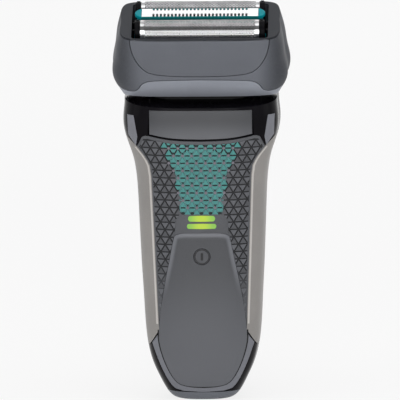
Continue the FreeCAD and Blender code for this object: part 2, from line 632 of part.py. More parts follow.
def toothed_plate(half, y0, y1, z0, z1, pitch, tooth, depth):
    """A flat comb plate with a row of teeth along its top edge."""
    plate = box(-half, half, y0, y1, z0, z1)
    count = int((2 * half - tooth) / pitch)
    gaps = []
    for i in range(count):
        x = (i - (count - 1) / 2) * pitch
        gaps.append(box(x - (pitch - tooth) / 2, x + (pitch - tooth) / 2, y0 - 1, y1 + 1,
                        z1 - depth, z1 + 1))
    return plate.cut(gaps)


def build_detail_trimmer(form):
    """The trimmer that swings out of the back, with its bay and release slide."""
    low = HINGE_Z - ARM_BARREL - BAY_WALL - MOVING_GAP
    tray = box(-BAY_HALF, BAY_HALF, BAY_FLOOR_Y, REAR_LIMIT, low, ARM_TOP_Z + 4.15)
    inside = box(-BAY_HALF + BAY_WALL, BAY_HALF - BAY_WALL, BAY_FLOOR_Y + BAY_WALL, REAR_LIMIT + 1,
                 low + BAY_WALL, ARM_TOP_Z + 3.0)
    tray = tray.cut(inside)
    tray = tray.common(form.outside)
    pin_bore = rod(0.8, (-BAY_HALF - 1, HINGE_Y, HINGE_Z), (BAY_HALF + 1, HINGE_Y, HINGE_Z))
    node("trimmer_bay", tray.cut(pin_bore))
    node("detail_trimmer_pin", rod(0.8, (-BAY_HALF, HINGE_Y, HINGE_Z), (BAY_HALF, HINGE_Y, HINGE_Z)))

    back_y = HINGE_Y - ARM_BARREL + 0.6
    blank = box(-ARM_HALF, ARM_HALF, back_y, REAR_LIMIT, HINGE_Z, ARM_TOP_Z).common(form.outside)
    hollow = box(-ARM_HALF + 1.2, ARM_HALF - 1.2, back_y - 1, HINGE_Y + 0.9,
                 HINGE_Z + ARM_BARREL + 1.2, ARM_TOP_Z + 1)
    barrel = rod(ARM_BARREL, (-ARM_HALF, HINGE_Y, HINGE_Z), (ARM_HALF, HINGE_Y, HINGE_Z))
    running = rod(0.8 + RUNNING, (-BAY_HALF, HINGE_Y, HINGE_Z), (BAY_HALF, HINGE_Y, HINGE_Z))
    arm = blank.cut(hollow).fuse(barrel)
    comb_y = HINGE_Y + 0.9
    seat = box(-ARM_HALF + 1.2, ARM_HALF - 1.2, back_y - 1, comb_y, ARM_TOP_Z - 10, ARM_TOP_Z + 1)
    node("detail_trimmer_arm", arm.cut([running, seat]))
    comb = toothed_plate(DETAIL_HALF, comb_y - 0.5, comb_y, ARM_TOP_Z - 9.5, ARM_TOP_Z + 2.2,
                         DETAIL_TOOTH_PITCH, 0.9, 2.6)
    node("detail_trimmer_comb", comb)
    blade_y = comb_y - 0.5 - RUNNING
    blade = toothed_plate(DETAIL_HALF - DETAIL_STROKE - 0.6, blade_y - 0.5, blade_y, ARM_TOP_Z - 6, ARM_TOP_Z + 1.8,
                          DETAIL_TOOTH_PITCH, 0.8, 2.0)
    node("detail_trimmer_blade", blade)

    floor_y = slide_floor()
    knob = box(-SLIDE_HALF, SLIDE_HALF, floor_y + 0.15, floor_y + 1.9, *SLIDE_Z)
    rims = [e for e in knob.Edges if e.CenterOfMass.y > floor_y + 1.8]
    knob = knob.makeChamfer(0.5, rims)
    grooves = [box(-SLIDE_HALF + 1.2, SLIDE_HALF - 1.2, floor_y + 1.5, REAR_LIMIT,
                   SLIDE_Z[0] + 2.0 + 1.6 * i, SLIDE_Z[0] + 2.7 + 1.6 * i) for i in range(4)]
    stem = box(-1.5, 1.5, floor_y - 2.2, floor_y + 0.2, SLIDE_Z[0] + 3.0, SLIDE_Z[0] + 6.0)
    node("trimmer_slide_button", knob.cut(grooves).fuse(stem))


# ------------------------------------------------------------------ head, in its own tilted frame
# share of the head's top, of its half width, of its front depth and of its rear depth, squareness
HEAD_FORM = (
    (-0.32, 0.775, 0.555, 0.765, 3.4),
    (-0.20, 0.815, 0.620, 0.800, 3.5),
    (-0.09, 0.858, 0.690, 0.835, 3.6),
    (0.020, 0.902, 0.757, 0.868, 3.8),
    (0.130, 0.948, 0.830, 0.905, 3.9),
    (0.250, 0.985, 0.895, 0.945, 4.1),
    (0.380, 0.992, 0.950, 0.975, 4.2),
    (0.520, 0.972, 0.985, 0.995, 4.4),
    (0.660, 0.952, 0.998, 1.000, 5.0),
    (0.800, 0.936, 0.988, 0.992, 5.8),
    (0.920, 0.912, 0.972, 0.975, 6.8),
    (1.040, 0.885, 0.945, 0.950, 7.6),
)
LOWER_SEAM = ((0.000, 10.5), (0.520, 10.2), (0.655, 8.6), (0.708, 3.9), (0.865, 3.3), (1.000, 5.5),
              (1.200, 5.9))
PANEL_EDGE = ((0.780, 27.5), (0.775, 25.0), (0.740, 20.5), (0.660, 16.0), (0.558, 13.4), (0.300, 12.5),
              (0.000, 12.3))
CHASSIS_LOW, CHASSIS_HIGH = 3.6, 5.1
FOIL_AXIS = FOIL_TOP - FOIL_RADIUS
FOIL_INSIDE = FOIL_RADIUS - FOIL_SHEET
BLADE_RADIUS = FOIL_INSIDE - CUTTER_GAP
BRIDGE_LOW, BRIDGE_HIGH = 7.6, 10.2
RAIL_RADIUS = 1.0
RAIL_Y = 5.4
RAIL_AXIS = (BRIDGE_LOW + BRIDGE_HIGH) / 2
BRIDGE_HALF = 19.8
PRONG = 1.4                    # thickness of a fork prong
POST_RADIUS = 1.5
CENTRE_POST_RADIUS = 1.2
FRAME_LOW = FOIL_AXIS - 7.5
TRIMMER_TOP = FOIL_TOP - 0.1
BUTTON_HALF_Y = 6.6
RELEASE_TRAVEL = 1.2
RELEASE_Z = (0.4, 4.6)


def head_stations():
    return [(s * HEAD_TOP, a * HEAD_HALF, f * HEAD_FRONT, r * HEAD_REAR, n)
            for s, a, f, r, n in HEAD_FORM]


def head_half_at(height):
    """Half width of the head at a height."""
    rows = head_stations()
    for low, high in zip(rows, rows[1:]):
        if low[0] <= height <= high[0]:
            return low[1] + (height - low[0]) / (high[0] - low[0]) * (high[1] - low[1])
    return HEAD_HALF


class HeadForm:
    """The head's outside and inside, and the line where the lift-off frame parts from the base."""

    def __init__(self):
        rows = head_stations()
        self.outside = loft(rows)
        self.inside = loft(rows, HEAD_WALL)
        self.panel_back = loft(rows, 0.9)
        self.pocket_floor = loft(rows, 0.9 + BED)
        line = [(x * HEAD_HALF, z) for x, z in LOWER_SEAM]
        line = softened(line, 2)
        far = 1.2 * HEAD_HALF
        skirt = [(-x, z) for x, z in reversed(line) if x > 0] + line + [(far, -30), (-far, -30)]
        self.below = prism(skirt, FRONT_LIMIT, REAR_LIMIT)
        self.below_seam = prism(grown(skirt, HEAD_SEAM), FRONT_LIMIT, REAR_LIMIT)

    def level(self):
        """Everything above the head's lower edge, which is level when the head is at rest."""
        space = box(-60, 60, -80, 80, PIVOT_Z - HEAD_BOTTOM, PIVOT_Z + 90)
        space.Placement = TILT.inverse().multiply(space.Placement)
        return space


def release_windows():
    """Openings for the two release buttons, through the skirt and a little way into the shell."""
    gap = MOVING_GAP
    right = box(HEAD_HALF - 8, HEAD_HALF + 8, -BUTTON_HALF_Y - gap, BUTTON_HALF_Y + gap,
                RELEASE_Z[0] - gap, RELEASE_Z[1] + gap)
    return [right, mirrored(right)]


def build_head_base(form):
    """Lower skirt, chassis plate, cheeks, rails and release buttons."""
    skirt = form.outside.cut(form.inside).common(form.below).common(form.level())
    skirt = skirt.cut(release_windows())
    gap = MOVING_GAP
    node("head_base", tilted(max(skirt.Solids, key=lambda solid: solid.Volume)))

    slab = box(-60, 60, -60, 60, CHASSIS_LOW, CHASSIS_HIGH)
    plate = loft(head_stations(), HEAD_WALL + BED).common(slab)
    slot_half = prong_gap() + PRONG + STROKE + 0.4
    drive_slot = box(-slot_half, slot_half, -5.4, 4.6, CHASSIS_LOW - 1, CHASSIS_HIGH + 1)
    recess = []
    for side in (1, -1):
        pressed = head_half_at(CHASSIS_LOW) - HEAD_WALL - RELEASE_TRAVEL - 2 * gap
        x0, x1 = sorted((side * pressed, side * (HEAD_HALF + 5)))
        recess.append(box(x0, x1, -BUTTON_HALF_Y - gap, BUTTON_HALF_Y + gap,
                          CHASSIS_LOW - 1, CHASSIS_HIGH + 1))
    cheeks = []
    for side in (1, -1):
        x0, x1 = sorted((side * CHEEK_INNER, side * CHEEK_OUTER))
        cheek = box(x0, x1, -EAR_RADIUS, EAR_RADIUS, 0, CHASSIS_LOW + 0.5)
        cheeks.append(cheek.fuse(rod(EAR_RADIUS, (x0, 0, 0), (x1, 0, 0))))
        x0, x1 = sorted((side * (BRIDGE_HALF + STROKE + 0.5), side * (BRIDGE_HALF + STROKE + 3.1)))
        for y in (RAIL_Y, -RAIL_Y):
            cheeks.append(box(x0, x1, y - 1.9, y + 1.9, CHASSIS_HIGH - 0.5, RAIL_AXIS + 1.8))
    reach = BRIDGE_HALF + STROKE + 3.1
    rail_bores = [rod(RAIL_RADIUS, (-reach - 1, y, RAIL_AXIS), (reach + 1, y, RAIL_AXIS))
                  for y in (RAIL_Y, -RAIL_Y)]
    pin_bore = rod(PIVOT_PIN + RUNNING, (-60, 0, 0), (60, 0, 0))
    chassis = plate.cut([drive_slot] + recess).fuse(cheeks).cut(rail_bores + [pin_bore])
    node("head_chassis", tilted(chassis))
    rails = [rod(RAIL_RADIUS, (-reach, y, RAIL_AXIS), (reach, y, RAIL_AXIS)) for y in (RAIL_Y, -RAIL_Y)]
    node("bridge_rails", tilted(Part.makeCompound(rails)))

    face = form.outside.cut(form.inside)
    pad_zone = box(HEAD_HALF - 8, HEAD_HALF + 8, -BUTTON_HALF_Y, BUTTON_HALF_Y, *RELEASE_Z)
    pad = face.common(pad_zone)
    stem_low = RELEASE_Z[0] + 0.3
    inner = head_half_at(stem_low) - HEAD_WALL / 2
    stem = box(inner - 3.2, inner, -2.5, 2.5, stem_low, CHASSIS_LOW - gap - 0.1)
    button = pad.fuse(stem)
    node("release_button_right", tilted(button))
    node("release_button_left", tilted(mirrored(button)))


def prong_gap():
    """Centre plane to the inner face of a prong of the fork that the eccentric runs in."""
    return ECCENTRIC_PIN + 2 * STROKE + MOVING_GAP


def build_oscillator():
    """The bridge that the eccentric drives, with the posts that carry the cutters."""
    bridge = box(-BRIDGE_HALF, BRIDGE_HALF, -FOIL_Y - 2.6, FOIL_Y + 2.6, BRIDGE_LOW, BRIDGE_HIGH)
    upright = [e for e in bridge.Edges if abs(e.tangentAt(0).z) > 0.99]
    bridge = bridge.makeFillet(2.0, upright)
    lighten = []
    for side in (1, -1):
        x0, x1 = sorted((side * 6.5, side * 16.5))
        lighten.append(box(x0, x1, -3.4, 3.4, BRIDGE_LOW - 1, BRIDGE_HIGH + 1))
    bores = [rod(RAIL_RADIUS + RUNNING, (-60, y, RAIL_AXIS), (60, y, RAIL_AXIS)) for y in (RAIL_Y, -RAIL_Y)]
    prongs = []
    for side in (1, -1):
        x0, x1 = sorted((side * prong_gap(), side * (prong_gap() + PRONG)))
        prongs.append(box(x0, x1, -4.0, 3.2, -1.2, BRIDGE_LOW + 0.5))
    posts = [rod(POST_RADIUS, (0, y, BRIDGE_HIGH - 0.5), (0, y, FOIL_AXIS - 5.1)) for y in (FOIL_Y, -FOIL_Y)]
    posts.append(rod(CENTRE_POST_RADIUS, (0, 0, BRIDGE_HIGH - 0.5), (0, 0, FOIL_AXIS - 1.1)))
    node("oscillator_bridge", tilted(bridge.cut(lighten + bores).fuse(prongs + posts)))
    springs = []
    for y, radius in ((FOIL_Y, POST_RADIUS), (-FOIL_Y, POST_RADIUS), (0, CENTRE_POST_RADIUS)):
        springs.append(coil(radius + 0.35, 0.5, 7.0, 5, (0, y, BRIDGE_HIGH + 0.05)))
    node("cutter_springs", tilted(Part.makeCompound(springs)))


def coil(inner, wire, height, turns, base):
    """A compression spring of square wire round a post."""
    pitch = (height - wire) / turns
    path = Part.makeHelix(pitch, height - wire, inner + wire / 2)
    x = inner
    corners = [Vector(x, 0, 0), Vector(x + wire, 0, 0), Vector(x + wire, 0, wire), Vector(x, 0, wire)]
    profile = Part.makePolygon(corners + [corners[0]])
    spring = Part.Wire(path).makePipeShell([profile], True, True)
    spring.translate(Vector(*base))
    return spring


def build_cutter(name, y):
    """A block of half-round lamella blades on a bar, floating on its drive post."""
    half = FOIL_HALF - STROKE - 0.7
    bar = box(-half, half, y - 2.0, y + 2.0, FOIL_AXIS - 3.9, FOIL_AXIS - 1.7)
    socket = box(-3.0, 3.0, y - 2.6, y + 2.6, FOIL_AXIS - 8.1, FOIL_AXIS - 3.1)
    bore = rod(POST_RADIUS + RUNNING, (0, y, FOIL_AXIS - 9), (0, y, FOIL_AXIS - 3.1))
    blades = []
    pitch = (2 * half - BLADE_SHEET) / (BLADES - 1)
    for i in range(BLADES):
        x = -half + i * pitch
        disc = rod(BLADE_RADIUS, (x, y, FOIL_AXIS), (x + BLADE_SHEET, y, FOIL_AXIS))
        eye = box(x - 1, x + 1, y - 2.2, y + 2.2, FOIL_AXIS - 1.9, FOIL_AXIS + 1.6)
        trim = box(x - 1, x + 1, y - 8, y + 8, FOIL_AXIS - 9, FOIL_AXIS - 2.5)
        blades.append(disc.cut(eye).cut(trim))
    node(name, tilted(bar.fuse([socket] + blades).cut(bore)))


def build_foil(name, y):
    """One arched foil on its frame of two end blocks and two rails."""
    outer = foil_profile(y, FOIL_RADIUS, FRAME_LOW + 1.4, FOIL_HALF)
    inner = foil_profile(y, FOIL_INSIDE, FRAME_LOW, FOIL_HALF + 1)
    node(name, tilted(outer.cut(inner)))
    blocks = []
    for side in (1, -1):
        block = foil_profile(y, FOIL_RADIUS - 0.15, FRAME_LOW, 1.05)
        block.translate(Vector(side * (FOIL_HALF + 1.1), 0, 0))
        blocks.append(block)
        for angle in (72, 158 if y < 0 else 128):
            lean = math.radians(angle)
            reach = FOIL_RADIUS + 0.15
            spot = Vector(side * (FOIL_HALF + 1.1), y + math.cos(lean) * reach,
                          FOIL_AXIS + math.sin(lean) * reach)
            foot = Vector(spot.x, y, FOIL_AXIS)
            blocks.append(Part.makeCylinder(0.65, reach, foot, spot.sub(foot)))
        x0, x1 = side * (FOIL_HALF + 2.0), side * (OPENING_HALF + 0.9)
        blocks.append(rod(0.8, (x0, y, FRAME_LOW + 1.6), (x1, y, FRAME_LOW + 1.6)))
    for edge in (1, -1):
        y0, y1 = sorted((y + edge * (FOIL_RADIUS + BED), y + edge * (FOIL_RADIUS + 0.5)))
        blocks.append(box(-FOIL_HALF - 0.4, FOIL_HALF + 0.4, y0, y1, FRAME_LOW, FRAME_LOW + 3.0))
        y0, y1 = sorted((y + edge * (FOIL_RADIUS - 0.4), y + edge * (FOIL_RADIUS + 0.5)))
        for side in (1, -1):
            x0, x1 = sorted((side * (FOIL_HALF + BED), side * (FOIL_HALF + 1.6)))
            blocks.append(box(x0, x1, y0, y1, FRAME_LOW, FRAME_LOW + 3.0))
    node(name + "_frame", tilted(blocks[0].fuse(blocks[1:])))


def foil_profile(y, radius, low, half):
    """A bar along X with an arched top: the section of a foil."""
    arch = [Part.LineSegment(Vector(-half, y - radius, low), Vector(-half, y - radius, FOIL_AXIS)),
            Part.Arc(Vector(-half, y - radius, FOIL_AXIS), Vector(-half, y, FOIL_AXIS + radius),
                     Vector(-half, y + radius, FOIL_AXIS)),
            Part.LineSegment(Vector(-half, y + radius, FOIL_AXIS), Vector(-half, y + radius, low)),
            Part.LineSegment(Vector(-half, y + radius, low), Vector(-half, y - radius, low))]
    wire = Part.Wire([s.toShape() for s in arch])
    return Part.Face(wire).extrude(Vector(2 * half, 0, 0))


def build_centre_trimmer():
    """Cradle, comb and moving blade between the foils."""
    rim = TRIMMER_TOP - 0.3
    floor = rim - CRADLE_DEPTH
    shelf = floor + 0.7
    cradle = stadium(CRADLE_HALF, CRADLE_WIDTH, floor, rim)
    top_edges = [e for e in cradle.Edges if e.CenterOfMass.z > rim - 0.01]
    low_edges = [e for e in cradle.Edges if e.CenterOfMass.z < floor + 0.01]
    cradle = cradle.makeChamfer(0.5, low_edges)
    top_edges = [e for e in cradle.Edges if e.CenterOfMass.z > rim - 0.01]
    cradle = cradle.makeFillet(0.3, top_edges)
    foot = stadium(CRADLE_HALF - 0.8, FOOT_WIDTH, floor - FOOT_HEIGHT, floor + 0.2)
    pocket = box(-COMB_HALF - 0.1, COMB_HALF + 0.1, -COMB_WIDTH / 2 - 0.1, COMB_WIDTH / 2 + 0.1,
                 shelf, rim + 1)
    slot = box(-4.4, 4.4, -2.0, 2.0, floor - FOOT_HEIGHT - 1, floor + 2)
    legs = []
    for side in (1, -1):
        x0, x1 = sorted((side * (CRADLE_HALF - 3.4), side * (CRADLE_HALF - 0.9)))
        legs.append(box(x0, x1, -2.0, 2.0, FRAME_LOW, floor + 0.2))
        x0, x1 = side * (CRADLE_HALF - 1.0), side * (OPENING_HALF + 0.9)
        legs.append(rod(0.8, (x0, 0, FRAME_LOW + 1.6), (x1, 0, FRAME_LOW + 1.6)))
    node("trimmer_cradle", tilted(cradle.fuse(foot).cut([pocket, slot]).fuse(legs)))

    skin = box(-COMB_HALF, COMB_HALF, -COMB_WIDTH / 2, COMB_WIDTH / 2, TRIMMER_TOP - COMB_LIP, TRIMMER_TOP)
    long_edges = [e for e in skin.Edges
                  if abs(e.tangentAt(0).x) > 0.99 and e.CenterOfMass.z > TRIMMER_TOP - 0.01]
    skin = skin.makeFillet(0.45, long_edges)
    half_inner = COMB_WIDTH / 2 - COMB_SHEET
    hollow = box(-COMB_HALF - 1, COMB_HALF + 1, -half_inner, half_inner,
                 TRIMMER_TOP - COMB_LIP - 1, TRIMMER_TOP - COMB_SHEET)
    pitch, gap, reach = 1.45, 0.6, COMB_HALF - 3.8
    count = int(2 * reach / pitch)
    slots = []
    for i in range(count):
        x = (i - (count - 1) / 2) * pitch
        for side in (1, -1):
            y0, y1 = sorted((side * 1.8, side * 5))
            slots.append(box(x - gap / 2, x + gap / 2, y0, y1, TRIMMER_TOP - COMB_LIP - 1, TRIMMER_TOP + 1))
    feet = []
    for side in (1, -1):
        x0, x1 = sorted((side * (COMB_HALF - 0.5), side * COMB_HALF))
        feet.append(box(x0, x1, -1.6, 1.6, shelf, TRIMMER_TOP - 0.1))
    node("trimmer_comb", tilted(skin.cut([hollow] + slots).fuse(feet)))

    half = COMB_HALF - STROKE - 1.0
    top = TRIMMER_TOP - COMB_SHEET - RUNNING
    width = half_inner - 0.3
    sheet = box(-half, half, -width, width, top - 0.4, top)
    cuts = []
    blade_pitch = 1.9
    count = int(2 * reach / blade_pitch)
    for i in range(count):
        x = (i - (count - 1) / 2) * blade_pitch
        for side in (1, -1):
            y0, y1 = sorted((side * 1.2, side * 5))
            cuts.append(box(x - 0.5, x + 0.5, y0, y1, top - 1, top + 1))
    carrier = box(-3.0, 3.0, -1.7, 1.7, FOIL_AXIS - 4.1, top - 0.4)
    bore = rod(CENTRE_POST_RADIUS + RUNNING, (0, 0, FOIL_AXIS - 5.1), (0, 0, FOIL_AXIS + 0.9))
    node("trimmer_blade", tilted(sheet.cut(cuts).fuse(carrier.cut(bore))))


def build_head_frame(form):
    """The lift-off frame: shell, front panel, bezel and the guide the foils float in."""
    outline = both_sides(softened([(x * HEAD_HALF, z) for x, z in PANEL_EDGE]))
    top_cut = box(-60, 60, -60, 60, HEAD_TOP, 90)
    pocket = prism(grown(outline, HEAD_SEAM), FRONT_LIMIT, 0).cut(form.pocket_floor)
    shell = form.outside.cut(form.inside).cut([form.below_seam, top_cut, pocket] + release_windows())
    node("head_shell", tilted(shell))
    panel = form.outside.cut(form.panel_back).common(prism(outline, FRONT_LIMIT, 0)).cut(top_cut)
    node("head_front_panel", tilted(panel))

    top = HEAD_TOP + BEZEL_HEIGHT
    mouth = box(-OPENING_HALF, OPENING_HALF, -OPENING_FRONT, OPENING_REAR, 0, 90)
    upright = [e for e in mouth.Edges if abs(e.tangentAt(0).z) > 0.99]
    mouth = mouth.makeFillet(1.6, upright)
    ring = form.outside.common(box(-60, 60, -60, 60, HEAD_TOP + HEAD_SEAM, top)).cut(mouth)
    node("head_bezel", tilted(ring))

    wall = 1.4
    parts = []
    pin_y = (FOIL_Y, -FOIL_Y, 0)
    slots = []
    for side in (1, -1):
        x0, x1 = sorted((side * OPENING_HALF, side * (OPENING_HALF + wall)))
        parts.append(box(x0, x1, -FOIL_Y - 4.6, FOIL_Y + 4.4, 14.0, HEAD_TOP + HEAD_SEAM))
        xs0, xs1 = sorted((side * (OPENING_HALF - 1), side * (OPENING_HALF + wall + 1)))
        for y in pin_y:
            centre = FRAME_LOW + 1.6
            travel = FLOAT if y else TRIMMER_FLOAT
            slots.append(box(xs0, xs1, y - 1.1, y + 1.1, centre - travel - 1.1, centre + 1.1))
        x0, x1 = sorted((side * (OPENING_HALF - 0.9), side * (OPENING_HALF + 0.3)))
        for y in (-3.2, 3.2):
            parts.append(box(x0, x1, y - 0.4, y + 0.4, 14.0, 25.5))
    for y0, y1 in ((-FOIL_Y - 7.2, -FOIL_Y - 4.4), (FOIL_Y + 4.4, FOIL_Y + 6.8)):
        parts.append(box(-OPENING_HALF - wall, OPENING_HALF + wall, y0, y1, 14.0, 16.6))
    guide = parts[0].fuse(parts[1:]).cut(slots)
    node("foil_guide", tilted(guide.common(loft(head_stations(), HEAD_WALL + BED))))


def footprint_shift():
    """Move along Y that puts the origin in the middle of the whole shaver's depth."""
    depths = [NODES[name].optimalBoundingBox() for name in ("head_front_panel", "head_shell",
                                                            "head_bezel", "rear_housing",
                                                            "detail_trimmer_arm")]
    return -(min(b.YMin for b in depths) + max(b.YMax for b in depths)) / 2


def main():
    handle = HandleForm()
    build_handle(handle)
    build_power(handle)
    build_drive(handle)
    build_detail_trimmer(handle)
    head = HeadForm()
    build_head_base(head)
    build_oscillator()
    for name, y in (("front_cutter", -FOIL_Y), ("rear_cutter", FOIL_Y)):
        build_cutter(name, y)
    for name, y in (("front_foil", -FOIL_Y), ("rear_foil", FOIL_Y)):
        build_foil(name, y)
    build_centre_trimmer()
    build_head_frame(head)
    shift = footprint_shift()
    os.makedirs("parts", exist_ok=True)
    for name, shape in NODES.items():
        shape.translate(Vector(0, shift, 0))
        shape.exportStep("parts/" + name + ".step")
    print(len(NODES), "nodes written, moved", round(shift, 4), "along Y")


main()
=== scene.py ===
"""Looks for a foil shaver: perforated foils, a triangle grip field, finishes and a studio.

Lengths are in millimetres where a name ends in _mm or a heading says so.  Everything else is in
metres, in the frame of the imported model: +X right, -Y front, +Z up the handle.
"""
import json
import math

import bmesh
import bpy
from bpy.props import FloatProperty, FloatVectorProperty, IntProperty, PointerProperty
from bpy.types import Operator, Panel, PropertyGroup
from mathutils import Matrix, Vector
from mathutils.bvhtree import BVHTree


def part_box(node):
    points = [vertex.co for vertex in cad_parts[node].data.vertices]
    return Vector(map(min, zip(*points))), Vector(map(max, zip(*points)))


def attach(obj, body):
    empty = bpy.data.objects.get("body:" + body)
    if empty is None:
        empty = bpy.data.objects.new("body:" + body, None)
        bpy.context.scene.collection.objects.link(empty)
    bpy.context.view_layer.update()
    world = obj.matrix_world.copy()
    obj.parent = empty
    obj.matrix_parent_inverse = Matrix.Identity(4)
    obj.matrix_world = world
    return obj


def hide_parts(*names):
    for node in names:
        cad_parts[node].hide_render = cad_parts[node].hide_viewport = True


bl_info = {
    "name": "Foil shaver looks",
    "version": (1, 0, 0),
    "blender": (4, 5, 0),
    "location": "View3D > Sidebar > Shaver",
    "description": "Dresses the packed foil shaver and sets up its studio",
    "category": "Object",
}

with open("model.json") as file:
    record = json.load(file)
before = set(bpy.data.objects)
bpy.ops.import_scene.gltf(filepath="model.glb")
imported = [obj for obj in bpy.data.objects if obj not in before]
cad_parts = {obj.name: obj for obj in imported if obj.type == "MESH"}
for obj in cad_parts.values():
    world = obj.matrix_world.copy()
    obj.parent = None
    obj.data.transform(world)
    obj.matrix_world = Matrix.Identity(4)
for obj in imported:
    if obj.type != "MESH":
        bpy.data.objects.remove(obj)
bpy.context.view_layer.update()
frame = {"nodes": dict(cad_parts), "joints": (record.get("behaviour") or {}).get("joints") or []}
NODES = frame["nodes"]
JOINTS = {joint["name"]: joint for joint in frame["joints"]}
MM = 0.001
PIVOT = Vector(JOINTS["head_pivot"]["pos_m"])
HEAD_UP = Vector(JOINTS["head_lift_off"]["axis"]).normalized()
HEAD_SIDE = Vector((1.0, 0.0, 0.0))
HEAD_BACK = HEAD_UP.cross(HEAD_SIDE)


# ---------------------------------------------------------------- shader maths
class Signal:
    """One output of a shader node, with Python's operators standing for Math nodes."""

    def __init__(self, work, socket):
        self.work = work
        self.socket = socket

    def maths(self, operation, *others):
        """A Math node on this signal and others, or on plain numbers."""
        return self.work.node("ShaderNodeMath", {"operation": operation}, self, *others)

    def __add__(self, other):
        return self.maths("ADD", other)

    __radd__ = __add__

    def __sub__(self, other):
        return self.maths("SUBTRACT", other)

    def __rsub__(self, other):
        return self.work.node("ShaderNodeMath", {"operation": "SUBTRACT"}, other, self)

    def __mul__(self, other):
        return self.maths("MULTIPLY", other)

    __rmul__ = __mul__

    def __abs__(self):
        return self.maths("ABSOLUTE")

    def over(self, low, high):
        """0 below low, 1 above high and a soft rise between."""
        settings = {"interpolation_type": "SMOOTHSTEP"}
        return self.work.node("ShaderNodeMapRange", settings, self, low, high, 0.0, 1.0)


class NodeWork:
    """A node tree and the one method that adds to it."""

    def __init__(self, tree):
        self.tree = tree

    def node(self, kind, settings, *values, output=0, **named):
        """Add a node, set its settings, then give its sockets values or links."""
        made = self.tree.nodes.new(kind)
        for key, value in settings.items():
            if key == "stops":
                self.fill_ramp(made.color_ramp, value)
            else:
                setattr(made, key, value)
        free = [s for s in made.inputs if s.enabled]
        for socket, value in zip(free, values):
            self.feed(socket, value)
        for name, value in named.items():
            wanted = name.replace("_", " ").title()
            self.feed(next(s for s in free if s.name == wanted), value)
        outputs = [s for s in made.outputs if s.enabled]
        return Signal(self, outputs[output])

    def fill_ramp(self, ramp, stops):
        """Set a ramp's stops from pairs of a place and a colour."""
        while len(ramp.elements) < len(stops):
            ramp.elements.new(0.5)
        for element, (place, colour) in zip(ramp.elements, stops):
            element.position = place
            element.color = (*colour, 1.0)

    def feed(self, socket, value):
        """Link a signal to a socket, or set the socket's own value."""
        if isinstance(value, Signal):
            self.tree.links.new(value.socket, socket)
        elif socket.type == "RGBA":
            socket.default_value = (*value[:3], 1.0)
        else:
            socket.default_value = value

    def seen(self):
        """1 for what the camera, a mirror or glass shows, and 0 for the light on things."""
        rays = self.node("ShaderNodeLightPath", {}).socket.node.outputs
        seen = Signal(self, rays["Is Camera Ray"])
        for kind in ("Is Glossy Ray", "Is Transmission Ray"):
            seen = seen.maths("MAXIMUM", Signal(self, rays[kind]))
        return seen


class Finish(NodeWork):
    """A procedural material for one finish, kept under a plain name."""

    def __init__(self, name, **constants):
        self.material = bpy.data.materials.new(name)
        self.material.use_nodes = True
        super().__init__(self.material.node_tree)
        self.shader = self.tree.nodes["Principled BSDF"]
        self.here = None
        self.set(**constants)

    def set(self, **inputs):
        """Give the surface shader's own sockets values or links."""
        for name, value in inputs.items():
            self.feed(self.shader.inputs[name.replace("_", " ")], value)

    def position(self):
        """The point's place on the object, as one vector."""
        if self.here is None:
            self.here = self.node("ShaderNodeTexCoord", {}, output=3)
        return self.here

    def axes(self):
        """The point's place as three numbers, in metres."""
        split = self.node("ShaderNodeSeparateXYZ", {}, self.position()).socket.node
        return [Signal(self, socket) for socket in split.outputs]

    def held(self, name):
        """A number that is kept for each vertex."""
        return self.node("ShaderNodeAttribute", {"attribute_name": name}, output=2)

    def stretched(self, scale):
        """The point's place with its axes scaled, for a pattern drawn out along one of them."""
        return self.node("ShaderNodeMapping", {}, self.position(), scale=scale)

    def noise(self, scale, detail=3.0, where=None):
        """A soft noise with the given number of cells to the metre."""
        place = where or self.position()
        return self.node("ShaderNodeTexNoise", {}, place, scale=scale, detail=detail)

    def cloud(self):
        """The slightly uneven tone of a moulded surface."""
        return self.noise(90.0, 4.0)

    def speck(self):
        """The fine grain of a moulded surface."""
        return self.noise(2600.0, 2.0)

    def cells(self, scale):
        """Small grains, with the given number to the metre."""
        return self.node("ShaderNodeTexVoronoi", {}, self.position(), scale=scale)

    def blend(self, factor, first, second):
        """Mix two colours."""
        return self.node("ShaderNodeMix", {"data_type": "RGBA"}, factor, first, second)

    def relief(self, height, strength, depth):
        """Bump from a height, with its depth in metres."""
        return self.node("ShaderNodeBump", {}, strength=strength, distance=depth, height=height)


def shade(colour, factor):
    """The same colour, darker or lighter."""
    return tuple(channel * factor for channel in colour)


# ---------------------------------------------------------------- sizes and colours
def size(name, default, description):
    """A length in millimetres."""
    return FloatProperty(name=name, description=description, default=default, min=0.0)


def tint(name, default, description):
    """A colour in linear light."""
    return FloatVectorProperty(name=name, description=description, default=default,
                               subtype="COLOR", size=3, min=0.0, max=1.0)


class ShaverFoilSettings(PropertyGroup):
    """Sizes of the two perforated foils."""

    pitch_mm: size("Foil spacing", 16.6, "Distance between the axes of the two foils, mm")
    radius_mm: size("Foil radius", 4.6, "Outer radius of a foil's arch, mm")
    crest_mm: size("Foil crest", 31.7, "Height of a foil's crest above the head pivot, mm")
    half_mm: size("Foil half length", 23.1, "Half the length of a foil, mm")
    plain_mm: size("Plain end", 1.5, "Width of the unperforated strip at each end, mm")
    skirt_mm: size("Foil skirt", 6.1, "Height of the straight sides under the arch, mm")
    hole_mm: size("Hole spacing", 1.3, "Distance between the rows of holes, mm")
    bar_share: FloatProperty(name="Bar share", description="Share of the spacing that stays metal",
                             default=0.32, min=0.05, max=0.95, subtype="FACTOR")
    sheet_mm: size("Sheet", 0.12, "Thickness of the foil, mm")


